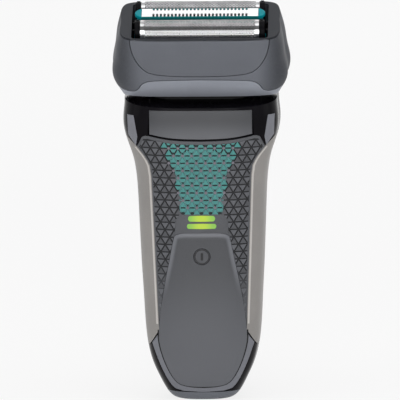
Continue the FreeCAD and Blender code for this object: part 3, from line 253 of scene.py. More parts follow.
class ShaverCombSettings(PropertyGroup):
    """Sizes of the slots in the centre trimmer's comb."""

    slots: IntProperty(name="Slots", description="Number of slots along each edge",
                       default=26, min=1)
    pitch_mm: size("Slot spacing", 1.45, "Distance between two slots, mm")
    slot_mm: size("Slot width", 0.86, "Width of one slot, mm")
    slot_length_mm: size("Slot length", 2.1, "Length of one slot across the comb, mm")
    edge_mm: size("Comb edge", 3.2, "Half width of the comb, mm")
    top_mm: size("Comb top", 31.6, "Height of the comb's top above the head pivot, mm")


class ShaverGripSettings(PropertyGroup):
    """Sizes of the triangle field on the front and of the beads beside it."""

    pad_mm: size("Pad width", 3.58, "Width of one triangle cell, mm")
    row_mm: size("Row height", 2.97, "Height of one row of triangle cells, mm")
    first_row_mm: size("First row", 104.85, "Height of the topmost row line, mm")
    groove_mm: size("Groove", 0.34, "Width of the groove between two pads, mm")
    rise_mm: size("Pad rise", 0.24, "Height of a pad above the panel, mm")
    bead_mm: size("Bead", 0.7, "Width of the bright bead on a side grip's edge, mm")
    bead_gap_mm: size("Bead gap", 0.3, "From the panel's edge to the bead, mm")
    fade_top_mm: size("Fade start", 58.0, "Height under which the pads get lower, mm")
    fade_end_mm: size("Fade end", 36.5, "Height where the pads are gone, mm")


class ShaverThumbSettings(PropertyGroup):
    """Sizes of the thumb panel and of the mark on the power button."""

    cell_mm: size("Cell", 0.8, "Size of the mesh cells of the panel, mm")
    rim_mm: size("Rim width", 2.2, "Width of the rounded rim, mm")
    drop_mm: size("Rim drop", 0.55, "How far the rim falls to the grip panel, mm")
    button_gap_mm: size("Button gap", 0.25, "Gap round the power button, mm")
    ring_mm: size("Ring radius", 2.75, "Middle radius of the ring on the button, mm")
    line_mm: size("Foot line", 0.55, "Width of the dark line round the foot of the panel, mm")
    bar_mm: size("Bar half width", 0.5, "Half width of the bar on the button, mm")
    bar_reach_mm: size("Bar reach", 1.05, "Half length of the straight part of the bar, mm")


class ShaverColourSettings(PropertyGroup):
    """The colours of the finishes."""

    head: tint("Head grey", (0.112, 0.118, 0.134), "Metallic paint of the head")
    panel: tint("Panel grey", (0.086, 0.089, 0.099), "Soft plastic of the grip and thumb panels")
    black: tint("Gloss black", (0.004, 0.0035, 0.005), "Glossy housing")
    champagne: tint("Champagne", (0.30, 0.286, 0.274), "Metallic paint of the side grips")
    # Painted reflection: this silver grey of the shoulder facets and the lower trim stands for the
    # light that these gloss black facets mirror.
    facet_reflection_grey: tint("Silver grey", (0.20, 0.205, 0.23), "Metallic paint of the trims")
    teal: tint("Teal", (0.0, 0.34, 0.40), "Cradle of the centre trimmer")
    teal_pads: tint("Pad teal", (0.065, 0.27, 0.255), "Teal pads in the triangle field")
    steel: tint("Steel", (0.66, 0.66, 0.67), "Foils, combs and blades")


class ShaverStudioSettings(PropertyGroup):
    """Camera and lamps."""

    distance: FloatProperty(name="Distance", description="Camera to the aim point",
                            default=4.0, min=0.1, unit="LENGTH")
    angle: FloatProperty(name="Angle of view", description="Camera's full angle of view",
                         default=math.radians(2.246), subtype="ANGLE")
    azimuth: FloatProperty(name="Azimuth", description="Camera's turn round the shaver",
                           default=math.radians(1.5), subtype="ANGLE")
    elevation: FloatProperty(name="Elevation", description="Camera's height over the horizon",
                             default=math.radians(10.0), subtype="ANGLE")
    roll: FloatProperty(name="Roll", description="Camera's turn about its own axis",
                        default=math.radians(-0.57), subtype="ANGLE")
    aim: FloatVectorProperty(name="Aim", description="Point that the camera looks at",
                             default=(-0.00092, 0.0, 0.0785), subtype="TRANSLATION", unit="LENGTH")


SETTINGS = {
    "shaver_foils": ShaverFoilSettings,
    "shaver_comb": ShaverCombSettings,
    "shaver_grip": ShaverGripSettings,
    "shaver_thumb": ShaverThumbSettings,
    "shaver_colours": ShaverColourSettings,
    "shaver_studio": ShaverStudioSettings,
}


# ---------------------------------------------------------------- finishes
# Where a tone changes over a piece: distances from the middle plane and heights, in metres.
# From the middle plane out to where the cradle's painted wall shade gives way to the plain teal of
# its ends.
CRADLE_SHADE_END = (0.0226, 0.0230)
# From the middle plane out to where the head's paint has turned to its painted shade at the
# flanks.
PAINTED_FLANK_SHADE = (0.021, 0.0315)
WINDOW_END = (0.0008, 0.0052)
# Heights over which the thumb panel's painted light goes from its pale foot to its darker top.
THUMB_LIGHT_RISE = (0.006, 0.070)
# Heights over which the painted highlight on the thumb panel's rim comes in.
THUMB_RIM_HIGHLIGHT_RISE = (0.040, 0.055)
# Painted shade: the deeper teal of the cradle's long walls, which stand in shade.
CRADLE_WALL_SHADE = (0.012, 0.165, 0.17)
# Angles on a foil's arch, in degrees from its crest, where the foil's painted reflection turns
# dark and bright.
DARK_REFLECTION_START = (33.0, 39.0)
DARK_REFLECTION_END = (54.0, 60.0)
FOIL_SIDE_REFLECTION = (50.0, 60.0)


def grained(finish, speck, roughness, grain):
    """Finish off a moulded surface: uneven roughness and a fine bump from one grain."""
    finish.set(Roughness=roughness + speck * 0.1)
    finish.set(Normal=finish.relief(speck, grain, 0.00003))
    return finish.material


def satin_plastic(name, colour, roughness=0.42, grain=0.5):
    """Fine-grained moulded plastic with a slightly cloudy tone."""
    finish = Finish(name, Specular_IOR_Level=0.45)
    cloud, speck = finish.cloud(), finish.speck()
    tone = finish.blend(cloud.over(0.3, 0.7), shade(colour, 0.92), shade(colour, 1.07))
    finish.set(Base_Color=finish.blend(speck.over(0.35, 0.8) * 0.22, tone, shade(colour, 1.3)))
    return grained(finish, speck, roughness, grain)


def gloss_plastic(name, colour, roughness=0.14, coat=0.0, specular=0.06):
    """Hard moulded plastic with a polished face and faint handling haze."""
    finish = Finish(name, Specular_IOR_Level=specular, Coat_Roughness=0.04)
    haze = finish.noise(140.0, 5.0)
    speck = finish.cells(1900.0)
    finish.set(Base_Color=finish.blend(haze.over(0.35, 0.75), colour, shade(colour, 1.35)))
    finish.set(Roughness=roughness + haze * 0.07, Coat_Weight=coat + haze * 0.02)
    finish.set(Normal=finish.relief(speck, 0.04, 0.00001))
    return finish.material


def cradle_plastic(name, colour):
    """Teal plastic, bright at the rounded ends, with painted shade that darkens the two long walls
    to a deeper teal.
    """
    finish = Finish(name, Specular_IOR_Level=0.04)
    across, _, _ = finish.axes()
    haze = finish.noise(140.0, 5.0)
    ends = abs(across).over(*CRADLE_SHADE_END)
    # Painted shade on the long walls; the ends keep the plain teal.
    tone = finish.blend(ends, CRADLE_WALL_SHADE, shade(colour, 0.8))
    finish.set(Base_Color=finish.blend(haze.over(0.4, 0.8) * 0.3, tone, shade(colour, 0.8)))
    finish.set(Roughness=0.35 + haze * 0.1)
    return finish.material


def metallic_paint(name, colour, flake=0.2, roughness=0.42, metal=0.2, specular=0.2, flank_shade=None):
    """Paint with fine metal flakes; the last argument is painted shade: the paint's tone out at
    the shaver's two sides.
    """
    finish = Finish(name, Specular_IOR_Level=specular)
    flakes = finish.cells(5200.0)
    cloud = finish.noise(60.0, 3.0)
    base = finish.blend(cloud.over(0.25, 0.75), shade(colour, 0.95), shade(colour, 1.05))
    # Painted shade: the paint darkens towards the shaver's two sides, where the head turns away
    # from the lamps.
    if flank_shade:
        across, _, _ = finish.axes()
        base = finish.blend(abs(across).over(*PAINTED_FLANK_SHADE), base, shade(colour, flank_shade))
    glint = flakes.over(0.2, 0.75) * flake
    finish.set(Base_Color=finish.blend(glint, base, shade(colour, 1.5)))
    finish.set(Roughness=roughness + flakes * 0.08, Metallic=metal + glint * 0.3)
    finish.set(Normal=finish.relief(flakes, 0.1, 0.00001))
    return finish.material


def bright_metal(name, colour, roughness=0.18):
    """Bare metal with fine lines drawn along X."""
    finish = Finish(name, Metallic=1.0)
    lines = finish.noise(1.0, 3.0, finish.stretched((40.0, 5200.0, 5200.0)))
    cloud = finish.noise(120.0, 2.0)
    tone = finish.blend(lines.over(0.3, 0.7), shade(colour, 0.84), shade(colour, 1.1))
    finish.set(Base_Color=tone)
    finish.set(Roughness=roughness + lines * 0.1 + cloud * 0.04)
    finish.set(Normal=finish.relief(lines, 0.12, 0.00002))
    return finish.material


def foil_steel_painted_reflection(name, colour):
    """Etched foil with painted reflections: greyer at the crest, bright low on the sides, and a
    dark band part way down each side of the arch.
    """
    finish = Finish(name, Metallic=1.0)
    angle = finish.held("arch_angle")
    cloud = finish.noise(300.0, 2.0)
    # Painted reflection: the crest is painted greyer and the sides below the band brighter, for
    # the studio that the foil mirrors.
    crest = finish.blend(cloud.over(0.3, 0.7), shade(colour, 0.55), shade(colour, 0.7))
    bright = finish.blend(angle.over(*FOIL_SIDE_REFLECTION), crest, shade(colour, 1.45))
    # Painted reflection: a dark, rougher band part way down each side, where the foil mirrors a
    # dark part of the studio.
    dark_reflection = angle.over(*DARK_REFLECTION_START) * (1 - angle.over(*DARK_REFLECTION_END))
    finish.set(Base_Color=finish.blend(dark_reflection, bright, shade(colour, 0.15)))
    finish.set(Roughness=0.2 + cloud * 0.06 + dark_reflection * 0.25)
    return finish.material


def soft_rubber(name, colour):
    """Matt elastomer with a fine irregular skin."""
    finish = Finish(name, Specular_IOR_Level=0.3)
    skin = finish.noise(1500.0, 5.0)
    finish.set(Base_Color=finish.blend(skin, shade(colour, 0.8), shade(colour, 1.25)))
    finish.set(Roughness=0.7 + skin * 0.15)
    finish.set(Normal=finish.relief(skin, 0.3, 0.00005))
    return finish.material


def glowing_window(name):
    """Lit window: bright yellow-green in the middle and greener at the ends."""
    finish = Finish(name, Roughness=0.35)
    across, _, _ = finish.axes()
    middle, green = (0.52, 0.70, 0.04), (0.20, 0.52, 0.085)
    unlit, unlit_pale = (0.10, 0.16, 0.02), (0.13, 0.2, 0.03)
    glow = finish.blend(abs(across).over(*WINDOW_END), middle, green)
    finish.set(Base_Color=finish.blend(finish.noise(700.0, 2.0), unlit, unlit_pale))
    finish.set(Emission_Color=glow, Emission_Strength=0.72)
    return finish.material


def circuit_board(name):
    """Solder mask with paler copper tracks under it."""
    finish = Finish(name, Specular_IOR_Level=0.5)
    tracks = finish.node("ShaderNodeTexBrick", {}, finish.position(), scale=520.0, output=1)
    mottled = finish.noise(900.0, 2.0)
    mask, pale_mask, copper = (0.01, 0.09, 0.04), (0.02, 0.13, 0.06), (0.07, 0.28, 0.12)
    tone = finish.blend(mottled, mask, pale_mask)
    finish.set(Base_Color=finish.blend(tracks * 0.6, tone, copper))
    finish.set(Roughness=0.3 + mottled * 0.1)
    finish.set(Normal=finish.relief(tracks, 0.3, 0.00003))
    return finish.material


def plate_paint(name, colour):
    """Smooth paint of the bare plate, paler towards its lower edge."""
    finish = Finish(name, Specular_IOR_Level=0.45)
    low, high = (corner[2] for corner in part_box("name_plate"))
    _, _, up = finish.axes()
    cloud = finish.cloud()
    upper = finish.blend(cloud, shade(colour, 0.62), shade(colour, 0.74))
    lower = finish.blend(cloud, shade(colour, 1.25), shade(colour, 1.4))
    finish.set(Base_Color=finish.blend(up.over(low, low + (high - low) * 0.7), lower, upper))
    finish.set(Roughness=0.3 + cloud * 0.08)
    return finish.material


def grip_field_panel(name, colour, grip):
    """Panel plastic that is plain at the foot and speckled as far down as the triangle field."""
    finish = Finish(name, Specular_IOR_Level=0.45)
    _, _, up = finish.axes()
    cloud, speck = finish.cloud(), finish.speck()
    tone = finish.blend(cloud.over(0.3, 0.7), shade(colour, 0.92), shade(colour, 1.07))
    field = up.over(grip.fade_end_mm * MM, grip.fade_top_mm * MM)
    grains = speck.over(0.35, 0.8) * 0.22 * field
    finish.set(Base_Color=finish.blend(grains, tone, shade(colour, 1.3)))
    return grained(finish, speck, 0.42, 0.5)


def groove_shade_floor(name, colour, grip):
    """The floor of the grooves, with painted shade: dark where the pads are high, and panel grey
    where they end.
    """
    finish = Finish(name, Specular_IOR_Level=0.3, Roughness=0.6)
    _, _, up = finish.axes()
    # Painted shade: the grooves get darker the higher the pads beside them stand.
    depth = up.over(grip.fade_end_mm * MM, grip.fade_top_mm * MM)
    dark = finish.blend(finish.speck(), shade(colour, 0.16), shade(colour, 0.24))
    finish.set(Base_Color=finish.blend(depth, colour, dark))
    return finish.material


def thumb_plastic(name, colour):
    """Panel plastic with painted light: paler towards the foot and darker towards the top, with a
    painted highlight on the upper part of the rounded rim.
    """
    finish = Finish(name, Specular_IOR_Level=0.45)
    _, _, up = finish.axes()
    # Painted highlight: the upper part of the rim is painted paler, where it slopes up towards the
    # light.
    rim = finish.held("rim").over(0.1, 0.7) * up.over(*THUMB_RIM_HIGHLIGHT_RISE)
    cloud, speck = finish.cloud(), finish.speck()
    # Painted light: paler towards the foot and darker towards the top, for how the light falls on
    # the panel.
    rise = finish.blend(up.over(*THUMB_LIGHT_RISE), shade(colour, 1.62), shade(colour, 0.72))
    tone = finish.blend(cloud.over(0.3, 0.7) * 0.1, rise, shade(colour, 1.3))
    rim_highlighted = finish.blend(rim, tone, shade(colour, 1.95))
    finish.set(Base_Color=finish.blend(speck.over(0.35, 0.8) * 0.15, rim_highlighted, shade(colour, 1.4)))
    return grained(finish, speck, 0.42, 0.4)


# The parts in head grey: nodes, finish, tone of the head grey, specular level, tone at the flanks,
# which is painted shade.
HEAD_GREYS = (
    (["trimmer_slide_button"], "head_paint", 1.12, 0.08, None),
    # The shell's paint darkens to a painted shade at its flanks.
    (["head_shell"], "shell_paint_shaded_flanks", 1.5, 0.06, 0.3),
    (["release_button_left", "release_button_right"], "button_paint", 0.7, 0.08, None),
    (["bottom_cap"], "cap_paint", 1.5, 0.2, None),
    (["head_front_panel"], "front_panel_paint", 1.32, 0.12, None),
    # Painted light: the head's base is painted much paler, for the light that the pale floor
    # throws up on it from below.
    (["head_base"], "head_base_paint_lit_from_below", 2.7, 0.2, None),
    (["head_bezel"], "bezel_paint", 0.37, 0.01, None),
)
# Colours of pieces that are hidden or small.
FRAME_BLACK = (0.004, 0.004, 0.005)
MOULDED_BLACK = (0.012, 0.012, 0.014)
RUBBER_BLACK = (0.018, 0.018, 0.018)
FROSTED = (0.6, 0.66, 0.55)
CELL_BLUE = (0.03, 0.10, 0.28)
NICKEL = (0.55, 0.53, 0.47)
BRASS = (0.62, 0.44, 0.18)
ZINC = (0.42, 0.42, 0.44)
MOULDED_GREY = (0.06, 0.06, 0.065)
FLOOR_TEAL = (0.10, 0.24, 0.24)
NOTCH_BLACK = (0.006, 0.016, 0.016)
STAR_GREY = (0.18, 0.17, 0.20)
GAP_BLACK = (0.006, 0.006, 0.007)


def paint(names, material):
    """Give CAD nodes their finish through their material slots."""
    for name in names:
        for slot in NODES[name].material_slots:
            slot.link = "DATA"
            slot.material = material


class SHAVER_OT_finishes(Operator):
    """Give every CAD piece that stays visible its procedural finish"""

    bl_idname = "shaver.finishes"
    bl_label = "Finishes"

    def execute(self, context):
        colours = context.scene.shaver_colours
        grip = context.scene.shaver_grip
        for names, finish, tone, specular, flank_shade in HEAD_GREYS:
            paint(names, metallic_paint(finish, shade(colours.head, tone),
                                        specular=specular, flank_shade=flank_shade))
        paint(["front_housing", "rear_housing", "detail_trimmer_arm"],
              gloss_plastic("gloss_black_housing", colours.black))
        paint(["grip_panel"], grip_field_panel("grip_panel_plastic", colours.panel, grip))
        paint(["power_button"], satin_plastic("button_plastic", shade(colours.panel, 0.9)))
        paint(["name_plate"], plate_paint("plate_paint", colours.panel))
        paint(["side_grip_left", "side_grip_right"],
              metallic_paint("champagne_paint", colours.champagne, roughness=0.4))
        # Painted reflection: the shoulder facets and the lower trim are painted silver grey for
        # the light that their gloss black faces mirror.
        paint(["shoulder_inlay_left", "shoulder_inlay_right", "lower_trim"],
              metallic_paint("facet_reflection_paint", colours.facet_reflection_grey, flake=0.3))
        paint(["trimmer_cradle"], cradle_plastic("teal_cradle_painted_shade", colours.teal))
        paint(["trimmer_comb", "detail_trimmer_comb", "detail_trimmer_blade", "motor_shaft",
               "pivot_pins", "detail_trimmer_pin", "bridge_rails", "cutter_springs"],
              bright_metal("bright_steel", colours.steel))
        # Painted shade: the cutters and the trimmer blade are painted nearly black, for the shadow
        # under the foils and the comb.
        paint(["front_cutter", "rear_cutter", "trimmer_blade"],
              bright_metal("blade_steel_painted_shade", shade(colours.steel, 0.05), roughness=0.45))
        paint(["front_foil_frame", "rear_foil_frame", "foil_guide"],
              gloss_plastic("black_frames", FRAME_BLACK, roughness=0.3, specular=0.03))
        paint(["neck_yoke", "trimmer_bay", "power_switch", "battery_ribs", "charging_socket",
               "head_chassis"],
              satin_plastic("moulded_black", MOULDED_BLACK, roughness=0.5, grain=0.4))
        paint(["neck_seal"], soft_rubber("seal_rubber", RUBBER_BLACK))
        paint(["light_bars"], glowing_window("lit_windows"))
        paint(["light_guide"], gloss_plastic("frosted_guide", FROSTED, roughness=0.4, coat=0.2))
        paint(["circuit_board"], circuit_board("solder_mask"))
        paint(["battery_cell"], gloss_plastic("cell_wrap", CELL_BLUE, roughness=0.3, coat=0.3))
        paint(["battery_tabs"], bright_metal("nickel_strip", NICKEL, roughness=0.25))
        paint(["socket_pins"], bright_metal("brass_pins", BRASS, roughness=0.22))
        paint(["motor_can", "motor_screws", "housing_screws"],
              bright_metal("zinc_plate", ZINC, roughness=0.32))
        paint(["oscillator_bridge", "eccentric", "status_leds"],
              satin_plastic("grey_moulding", MOULDED_GREY, roughness=0.45, grain=0.2))
        return {"FINISHED"}


# ---------------------------------------------------------------- modelling helpers
def fresh():
    """Leave edit mode and deselect everything, so that an operator acts on new work only."""
    if bpy.context.object and bpy.context.object.mode != "OBJECT":
        bpy.ops.object.mode_set(mode="OBJECT")
    bpy.ops.object.select_all(action="DESELECT")


def pick(thing):
    """Make one object the only selected one, and the active one."""
    fresh()
    thing.select_set(True)
    bpy.context.view_layer.objects.active = thing


def primitive(kind, scale=(1.0, 1.0, 1.0), **settings):
    """A new mesh primitive, scaled, with its place and turn moved into its mesh."""
    fresh()
    getattr(bpy.ops.mesh, f"primitive_{kind}_add")(**settings)
    thing = bpy.context.active_object
    thing.scale = scale
    bpy.ops.object.transform_apply(location=True, rotation=True, scale=True)
    return thing


def edited(thing, operator, **settings):
    """Run one edit-mode operator on the whole of a mesh."""
    pick(thing)
    bpy.ops.object.mode_set(mode="EDIT")
    bpy.ops.mesh.select_all(action="SELECT")
    operator(**settings)
    bpy.ops.object.mode_set(mode="OBJECT")
    return thing


def finished(thing, kind, **settings):
    """Add a modifier and apply it."""
    pick(thing)
    modifier = thing.modifiers.new(kind.title(), kind)
    for key, value in settings.items():
        setattr(modifier, key, value)
    done = bpy.ops.object.modifier_apply(modifier=modifier.name)
    if done != {"FINISHED"} or not thing.data.polygons:
        raise RuntimeError(f"{kind} left nothing of {thing.name}")
    return thing


def flat_grid(half_x, half_y, columns, rows, turn=0.0):
    """A flat grid in the XY plane, in millimetres, turned about Z."""
    return primitive("grid", (half_x, half_y, 1.0), x_subdivisions=columns, y_subdivisions=rows,
                     size=2.0, rotation=(0.0, 0.0, turn))


def plate_of_cells(half, low, high, cell, bottom, top):
    """A thin plate of small square cells between two heights, flat in the XY plane."""
    plate = flat_grid(half, (high - low) / 2, round(2 * half / cell), round((high - low) / cell))
    plate.data.transform(Matrix.Translation((0.0, (low + high) / 2, bottom)))
    return finished(plate, "SOLIDIFY", thickness=top - bottom, offset=1.0)


def drop_faces(thing, unwanted):
    """Delete the faces whose centre passes a test."""
    pick(thing)
    for face in thing.data.polygons:
        face.select = unwanted(face.center)
    bpy.ops.object.mode_set(mode="EDIT")
    bpy.ops.mesh.delete(type="FACE")
    bpy.ops.object.mode_set(mode="OBJECT")


def joined(things, name):
    """Join finished meshes into one named piece."""
    fresh()
    for thing in things:
        thing.select_set(True)
    bpy.context.view_layer.objects.active = things[0]
    bpy.ops.object.join()
    things[0].name = name
    things[0].data.name = name
    return things[0]


def copies(thing, spots, name):
    """Copies of one shape at flat spots, joined; the pattern shape is put away."""
    made = []
    for x, z in spots:
        one = thing.copy()
        one.data = thing.data.copy()
        one.data.transform(Matrix.Translation((x, z, 0.0)))
        bpy.context.scene.collection.objects.link(one)
        made.append(one)
    bpy.data.objects.remove(thing)
    return joined(made, name)


def cut(thing, tool, operation):
    """Keep what lies inside a tool, or what lies outside it, and put the tool away."""
    finished(thing, "BOOLEAN", object=tool, operation=operation, solver="EXACT")
    bpy.data.objects.remove(tool)
    return thing


def settle(thing, matrix):
    """Put a mesh made in millimetres into its place, and leave the object at the origin."""
    thing.data.transform(matrix @ Matrix.Scale(MM, 4))
    thing.data.update()


def head_place(back, up):
    """The matrix from the head's own frame, moved back and up in metres, to the model."""
    origin = PIVOT + HEAD_BACK * back + HEAD_UP * up
    turned = Matrix((HEAD_SIDE, HEAD_BACK, HEAD_UP)).transposed().to_4x4()
    return Matrix.Translation(origin) @ turned


def smooth(thing, degrees):
    """Shade smooth, but for edges sharper than the angle."""
    pick(thing)
    bpy.ops.object.shade_smooth_by_angle(angle=math.radians(degrees))


def hold_values(thing, name, values):
    """Keep one number for each vertex, which a finish reads under this name."""
    thing.data.attributes.new(name, "FLOAT", "POINT").data.foreach_set("value", values)


def hand_over(thing, body, slot, material, *stands_for):
    """Give a piece its finish and its body; the slot argument is not used."""
    thing.data.materials.clear()
    thing.data.materials.append(material)
    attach(thing, body)
    if stands_for:
        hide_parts(*stands_for)


# ---------------------------------------------------------------- foils
# All in millimetres.
UNDER_CAD_FOIL = 0.05       # from the CAD foil's outer face down to the sheet's
SKIRT_RIM = 1.6             # width of the plain strip along each lower edge
RIM_LAP = 0.4               # how far the lattice runs on under the plain strips
RIM_STEP = 0.06             # how much thicker the plain strips are
RIM_ROWS = 96               # cells across a strip, so that it bends smoothly


def foil_lattice(foils, half, span):
    """The perforated part, flat: bars along both diagonals with diamond holes between them."""
    cell = foils.hole_mm / math.sqrt(2.0)
    count = math.ceil((half + span) * math.sqrt(2.0) / cell / 2.0) * 2
    reach = count * cell / 2.0
    lattice = flat_grid(reach, reach, count, count, math.radians(45.0))
    for place, normal in (((half, 0, 0), (1, 0, 0)), ((-half, 0, 0), (-1, 0, 0)),
                          ((0, span, 0), (0, 1, 0)), ((0, -span, 0), (0, -1, 0))):
        edited(lattice, bpy.ops.mesh.bisect, plane_co=place, plane_no=normal,
               clear_outer=True, threshold=1e-6)
    bar = cell * foils.bar_share
    finished(lattice, "WIREFRAME", thickness=bar, use_even_offset=True, use_boundary=False,
             use_replace=True)
    thinness = foils.sheet_mm / bar
    lattice.data.transform(Matrix.Diagonal((1.0, 1.0, thinness, 1.0)))
    return lattice


def foil_rims(foils, half, reach):
    """The plain strips round the perforated part, flat."""
    rims = flat_grid(half, reach, 1, RIM_ROWS)
    inner = half - foils.plain_mm
    for x in (inner, -inner):
        edited(rims, bpy.ops.mesh.bisect, plane_co=(x, 0, 0), plane_no=(1, 0, 0), threshold=1e-6)
    skirt = reach - SKIRT_RIM
    drop_faces(rims, lambda spot: abs(spot.x) < inner and abs(spot.y) < skirt)
    return finished(rims, "SOLIDIFY", thickness=foils.sheet_mm + RIM_STEP, offset=0.0)


def bend_over(sheet, radius):
    """Bend a flat sheet round an arch that runs along X, with straight sides below it."""
    quarter = math.pi * radius / 2
    angles = []
    for vertex in sheet.data.vertices:
        along, across, rise = vertex.co
        turn = max(-quarter, min(quarter, across)) / radius
        angles.append(abs(math.degrees(turn)))
        drop = max(0.0, abs(across) - quarter)
        out = radius + rise
        vertex.co = (along, out * math.sin(turn), out * math.cos(turn) - drop)
    hold_values(sheet, "arch_angle", angles)


class SHAVER_OT_foils(Operator):
    """Model the two foils: a diamond lattice with plain rims, bent over the arch"""

    bl_idname = "shaver.foils"
    bl_label = "Perforated foils"

    def execute(self, context):
        foils = context.scene.shaver_foils
        steel = foil_steel_painted_reflection("foil_steel_painted_reflection", context.scene.shaver_colours.steel)
        middle = foils.radius_mm - foils.sheet_mm / 2 - UNDER_CAD_FOIL
        reach = math.pi * middle / 2 + foils.skirt_mm
        axis = (foils.crest_mm - foils.radius_mm) * MM
        for name, side in (("front", -1), ("rear", 1)):
            lattice = foil_lattice(foils, foils.half_mm - foils.plain_mm + RIM_LAP,
                                   reach - SKIRT_RIM + RIM_LAP)
            rims = foil_rims(foils, foils.half_mm, reach)
            foil = joined([lattice, rims], name + "_foil_sheet")
            bend_over(foil, middle)
            settle(foil, head_place(side * foils.pitch_mm / 2 * MM, axis))
            smooth(foil, 35.0)
            hand_over(foil, name + "_foil_cassette", "steel", steel, name + "_foil")
        return {"FINISHED"}


# ---------------------------------------------------------------- comb
# All in millimetres.
SLOT_TOOL = 1.6             # height of the block that cuts a slot
SLOT_TOOL_BELOW = 0.5       # from the comb's top down to the block's middle
SLOT_CORNER = 0.12
SLOT_OVERRUN = 0.3          # how far the block stands out past the comb's edge


class SHAVER_OT_comb(Operator):
    """Open the slots of the centre trimmer's comb on a copy of the CAD piece"""

    bl_idname = "shaver.comb"
    bl_label = "Comb slots"

    def execute(self, context):
        settings = context.scene.shaver_comb
        comb = NODES["trimmer_comb"].copy()
        comb.data = NODES["trimmer_comb"].data.copy()
        comb.name = "slotted_comb"
        context.scene.collection.objects.link(comb)
        edited(comb, bpy.ops.mesh.remove_doubles, threshold=1e-6)

        slot = primitive("cube", (settings.slot_mm, settings.slot_length_mm, SLOT_TOOL), size=1.0)
        finished(slot, "BEVEL", width=SLOT_CORNER, segments=1)
        middle = settings.edge_mm - settings.slot_length_mm / 2 + SLOT_OVERRUN
        places = [((i - (settings.slots - 1) / 2) * settings.pitch_mm, side * middle)
                  for i in range(settings.slots) for side in (1, -1)]
        slots = copies(slot, places, "slots")
        settle(slots, head_place(0.0, (settings.top_mm - SLOT_TOOL_BELOW) * MM))
        cut(comb, slots, "DIFFERENCE")
        smooth(comb, 40.0)
        steel = bright_metal("comb_steel", shade(context.scene.shaver_colours.steel, 1.05),
                             roughness=0.25)
        hand_over(comb, "centre_trimmer", "steel", steel, "trimmer_comb")
        return {"FINISHED"}


# ---------------------------------------------------------------- work laid on the front
# All in millimetres, as X and height.
# The line round the triangle field, right half from the top middle.
FIELD_TOP = ((0.0, 103.2), (10.0, 103.4), (17.0, 104.5), (22.2, 105.7), (23.3, 103.6),
             (24.2, 101.8))
FIELD_SIDE = ((24.2, 101.8), (20.8, 97.2), (19.0, 93.4), (18.5, 80.7), (17.35, 50.0),
              (16.75, 33.0))
FIELD_FOOT = ((16.75, 33.0), (16.0, 40.9), (14.1, 51.3), (12.8, 57.2), (11.6, 63.8),
              (10.4, 69.0))
FIELD_NOTCH = ((10.4, 69.0), (10.3, 73.0), (8.6, 75.4), (0.0, 75.4))
# The thumb panel's outline, right half from the top middle.
THUMB_TOP = ((0.0, 67.85), (10.4, 67.85), (11.4, 64.1), (12.7, 56.9), (14.0, 51.0), (15.9, 40.6),
             (17.0, 32.3), (17.2, 28.7))
THUMB_FOOT = ((17.2, 28.7), (17.3, 23.5), (14.7, 14.7), (10.7, 7.3), (6.1, 5.9), (0.0, 5.76))
# The inner edge of the side grips, from the top.
GRIP_EDGE = ((25.1, 101.6), (21.5, 97.4), (19.6, 93.4), (19.1, 80.7), (17.25, 31.0))
# Height and half width of the teal part of the field, and the heights where its floor ends.
TEAL_EDGE = ((75.0, 8.4), (84.0, 8.9), (93.0, 10.3), (98.0, 12.6), (103.5, 15.6))
TEAL_FLOOR = (76.2, 102.6)
TOOL_REACH = 4.0            # how far a cutting outline reaches to both sides of flat work
SUNK = -0.2                 # how far laid-on work reaches under the skin
MARGIN = 1.0                # how far a plate reaches past the outline that is cut from it


def softened(points, rounds=1):
    """The same open line with its corners cut, round after round."""
    for _ in range(rounds):
        line = [points[0]]
        for (x0, z0), (x1, z1) in zip(points, points[1:]):
            line += [(x0 + (x1 - x0) * share, z0 + (z1 - z0) * share) for share in (0.25, 0.75)]
        points = line + [points[-1]]
    return list(points)


def both_sides(right_half):
    """A closed outline from its right half, which starts and ends in the middle."""
    return right_half + [(-x, z) for x, z in reversed(right_half) if x > 0.0]


def half_width(edge, z):
    """The half width at a height, read from a rising line of (height, half width)."""
    for (z0, x0), (z1, x1) in zip(edge, edge[1:]):
        if z <= z1:
            return x0 + (x1 - x0) * (z - z0) / (z1 - z0)
    return edge[-1][1]


def outline_tool(outline):
    """A prism with the given outline that reaches through the flat work."""
    tool = primitive("circle", vertices=len(outline), fill_type="NGON")
    for vertex, (x, z) in zip(tool.data.vertices, outline):
        vertex.co = (x, z, -TOOL_REACH)
    edited(tool, bpy.ops.mesh.extrude_region_move,
           TRANSFORM_OT_translate={"value": (0.0, 0.0, 2 * TOOL_REACH)})
    return edited(tool, bpy.ops.mesh.normals_make_consistent, inside=False)


class Skin:
    """The front face of a CAD piece, on which other pieces lie."""

    def __init__(self, name):
        shape = bmesh.new()
        shape.from_mesh(NODES[name].data)
        self.tree = BVHTree.FromBMesh(shape)
        self.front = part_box(name)[0][1]
        shape.free()

    def place(self, x, z):
        """How far back the skin lies in metres, at a point given in millimetres."""
        start = Vector((x * MM, self.front - 0.01, z * MM))
        hit = self.tree.ray_cast(start, Vector((0.0, 1.0, 0.0)))[0]
        if hit is None:
            hit = self.tree.find_nearest(start)[0]
        return hit.y

    def drape(self, thing, fade=None, height=None):
        """Lay flat work on the skin: its X and Y become X and Z, and its Z stands off the skin.

        fade gives a share of the rise for a height on the shaver.  height gives another rise, and
        the spot where the skin is read.
        """
        for vertex in thing.data.vertices:
            x, z, rise = vertex.co
            if height:
                rise, spot = height(x, z, rise)
            else:
                spot = (x, z)
            if fade:
                rise *= fade(z)
            vertex.co = (x * MM, self.place(*spot) - rise * MM, z * MM)
        thing.data.update()
        return thing


def laid_plate(name, skin, outline, half, low, high, cell, rise, fade=None):
    """A plate of cells with an outline, laid on a skin that it stands a little proud of."""
    plate = plate_of_cells(half, low, high, cell, SUNK, rise)
    plate.name = name
    cut(plate, outline_tool(outline), "INTERSECT")
    return skin.drape(plate, fade)


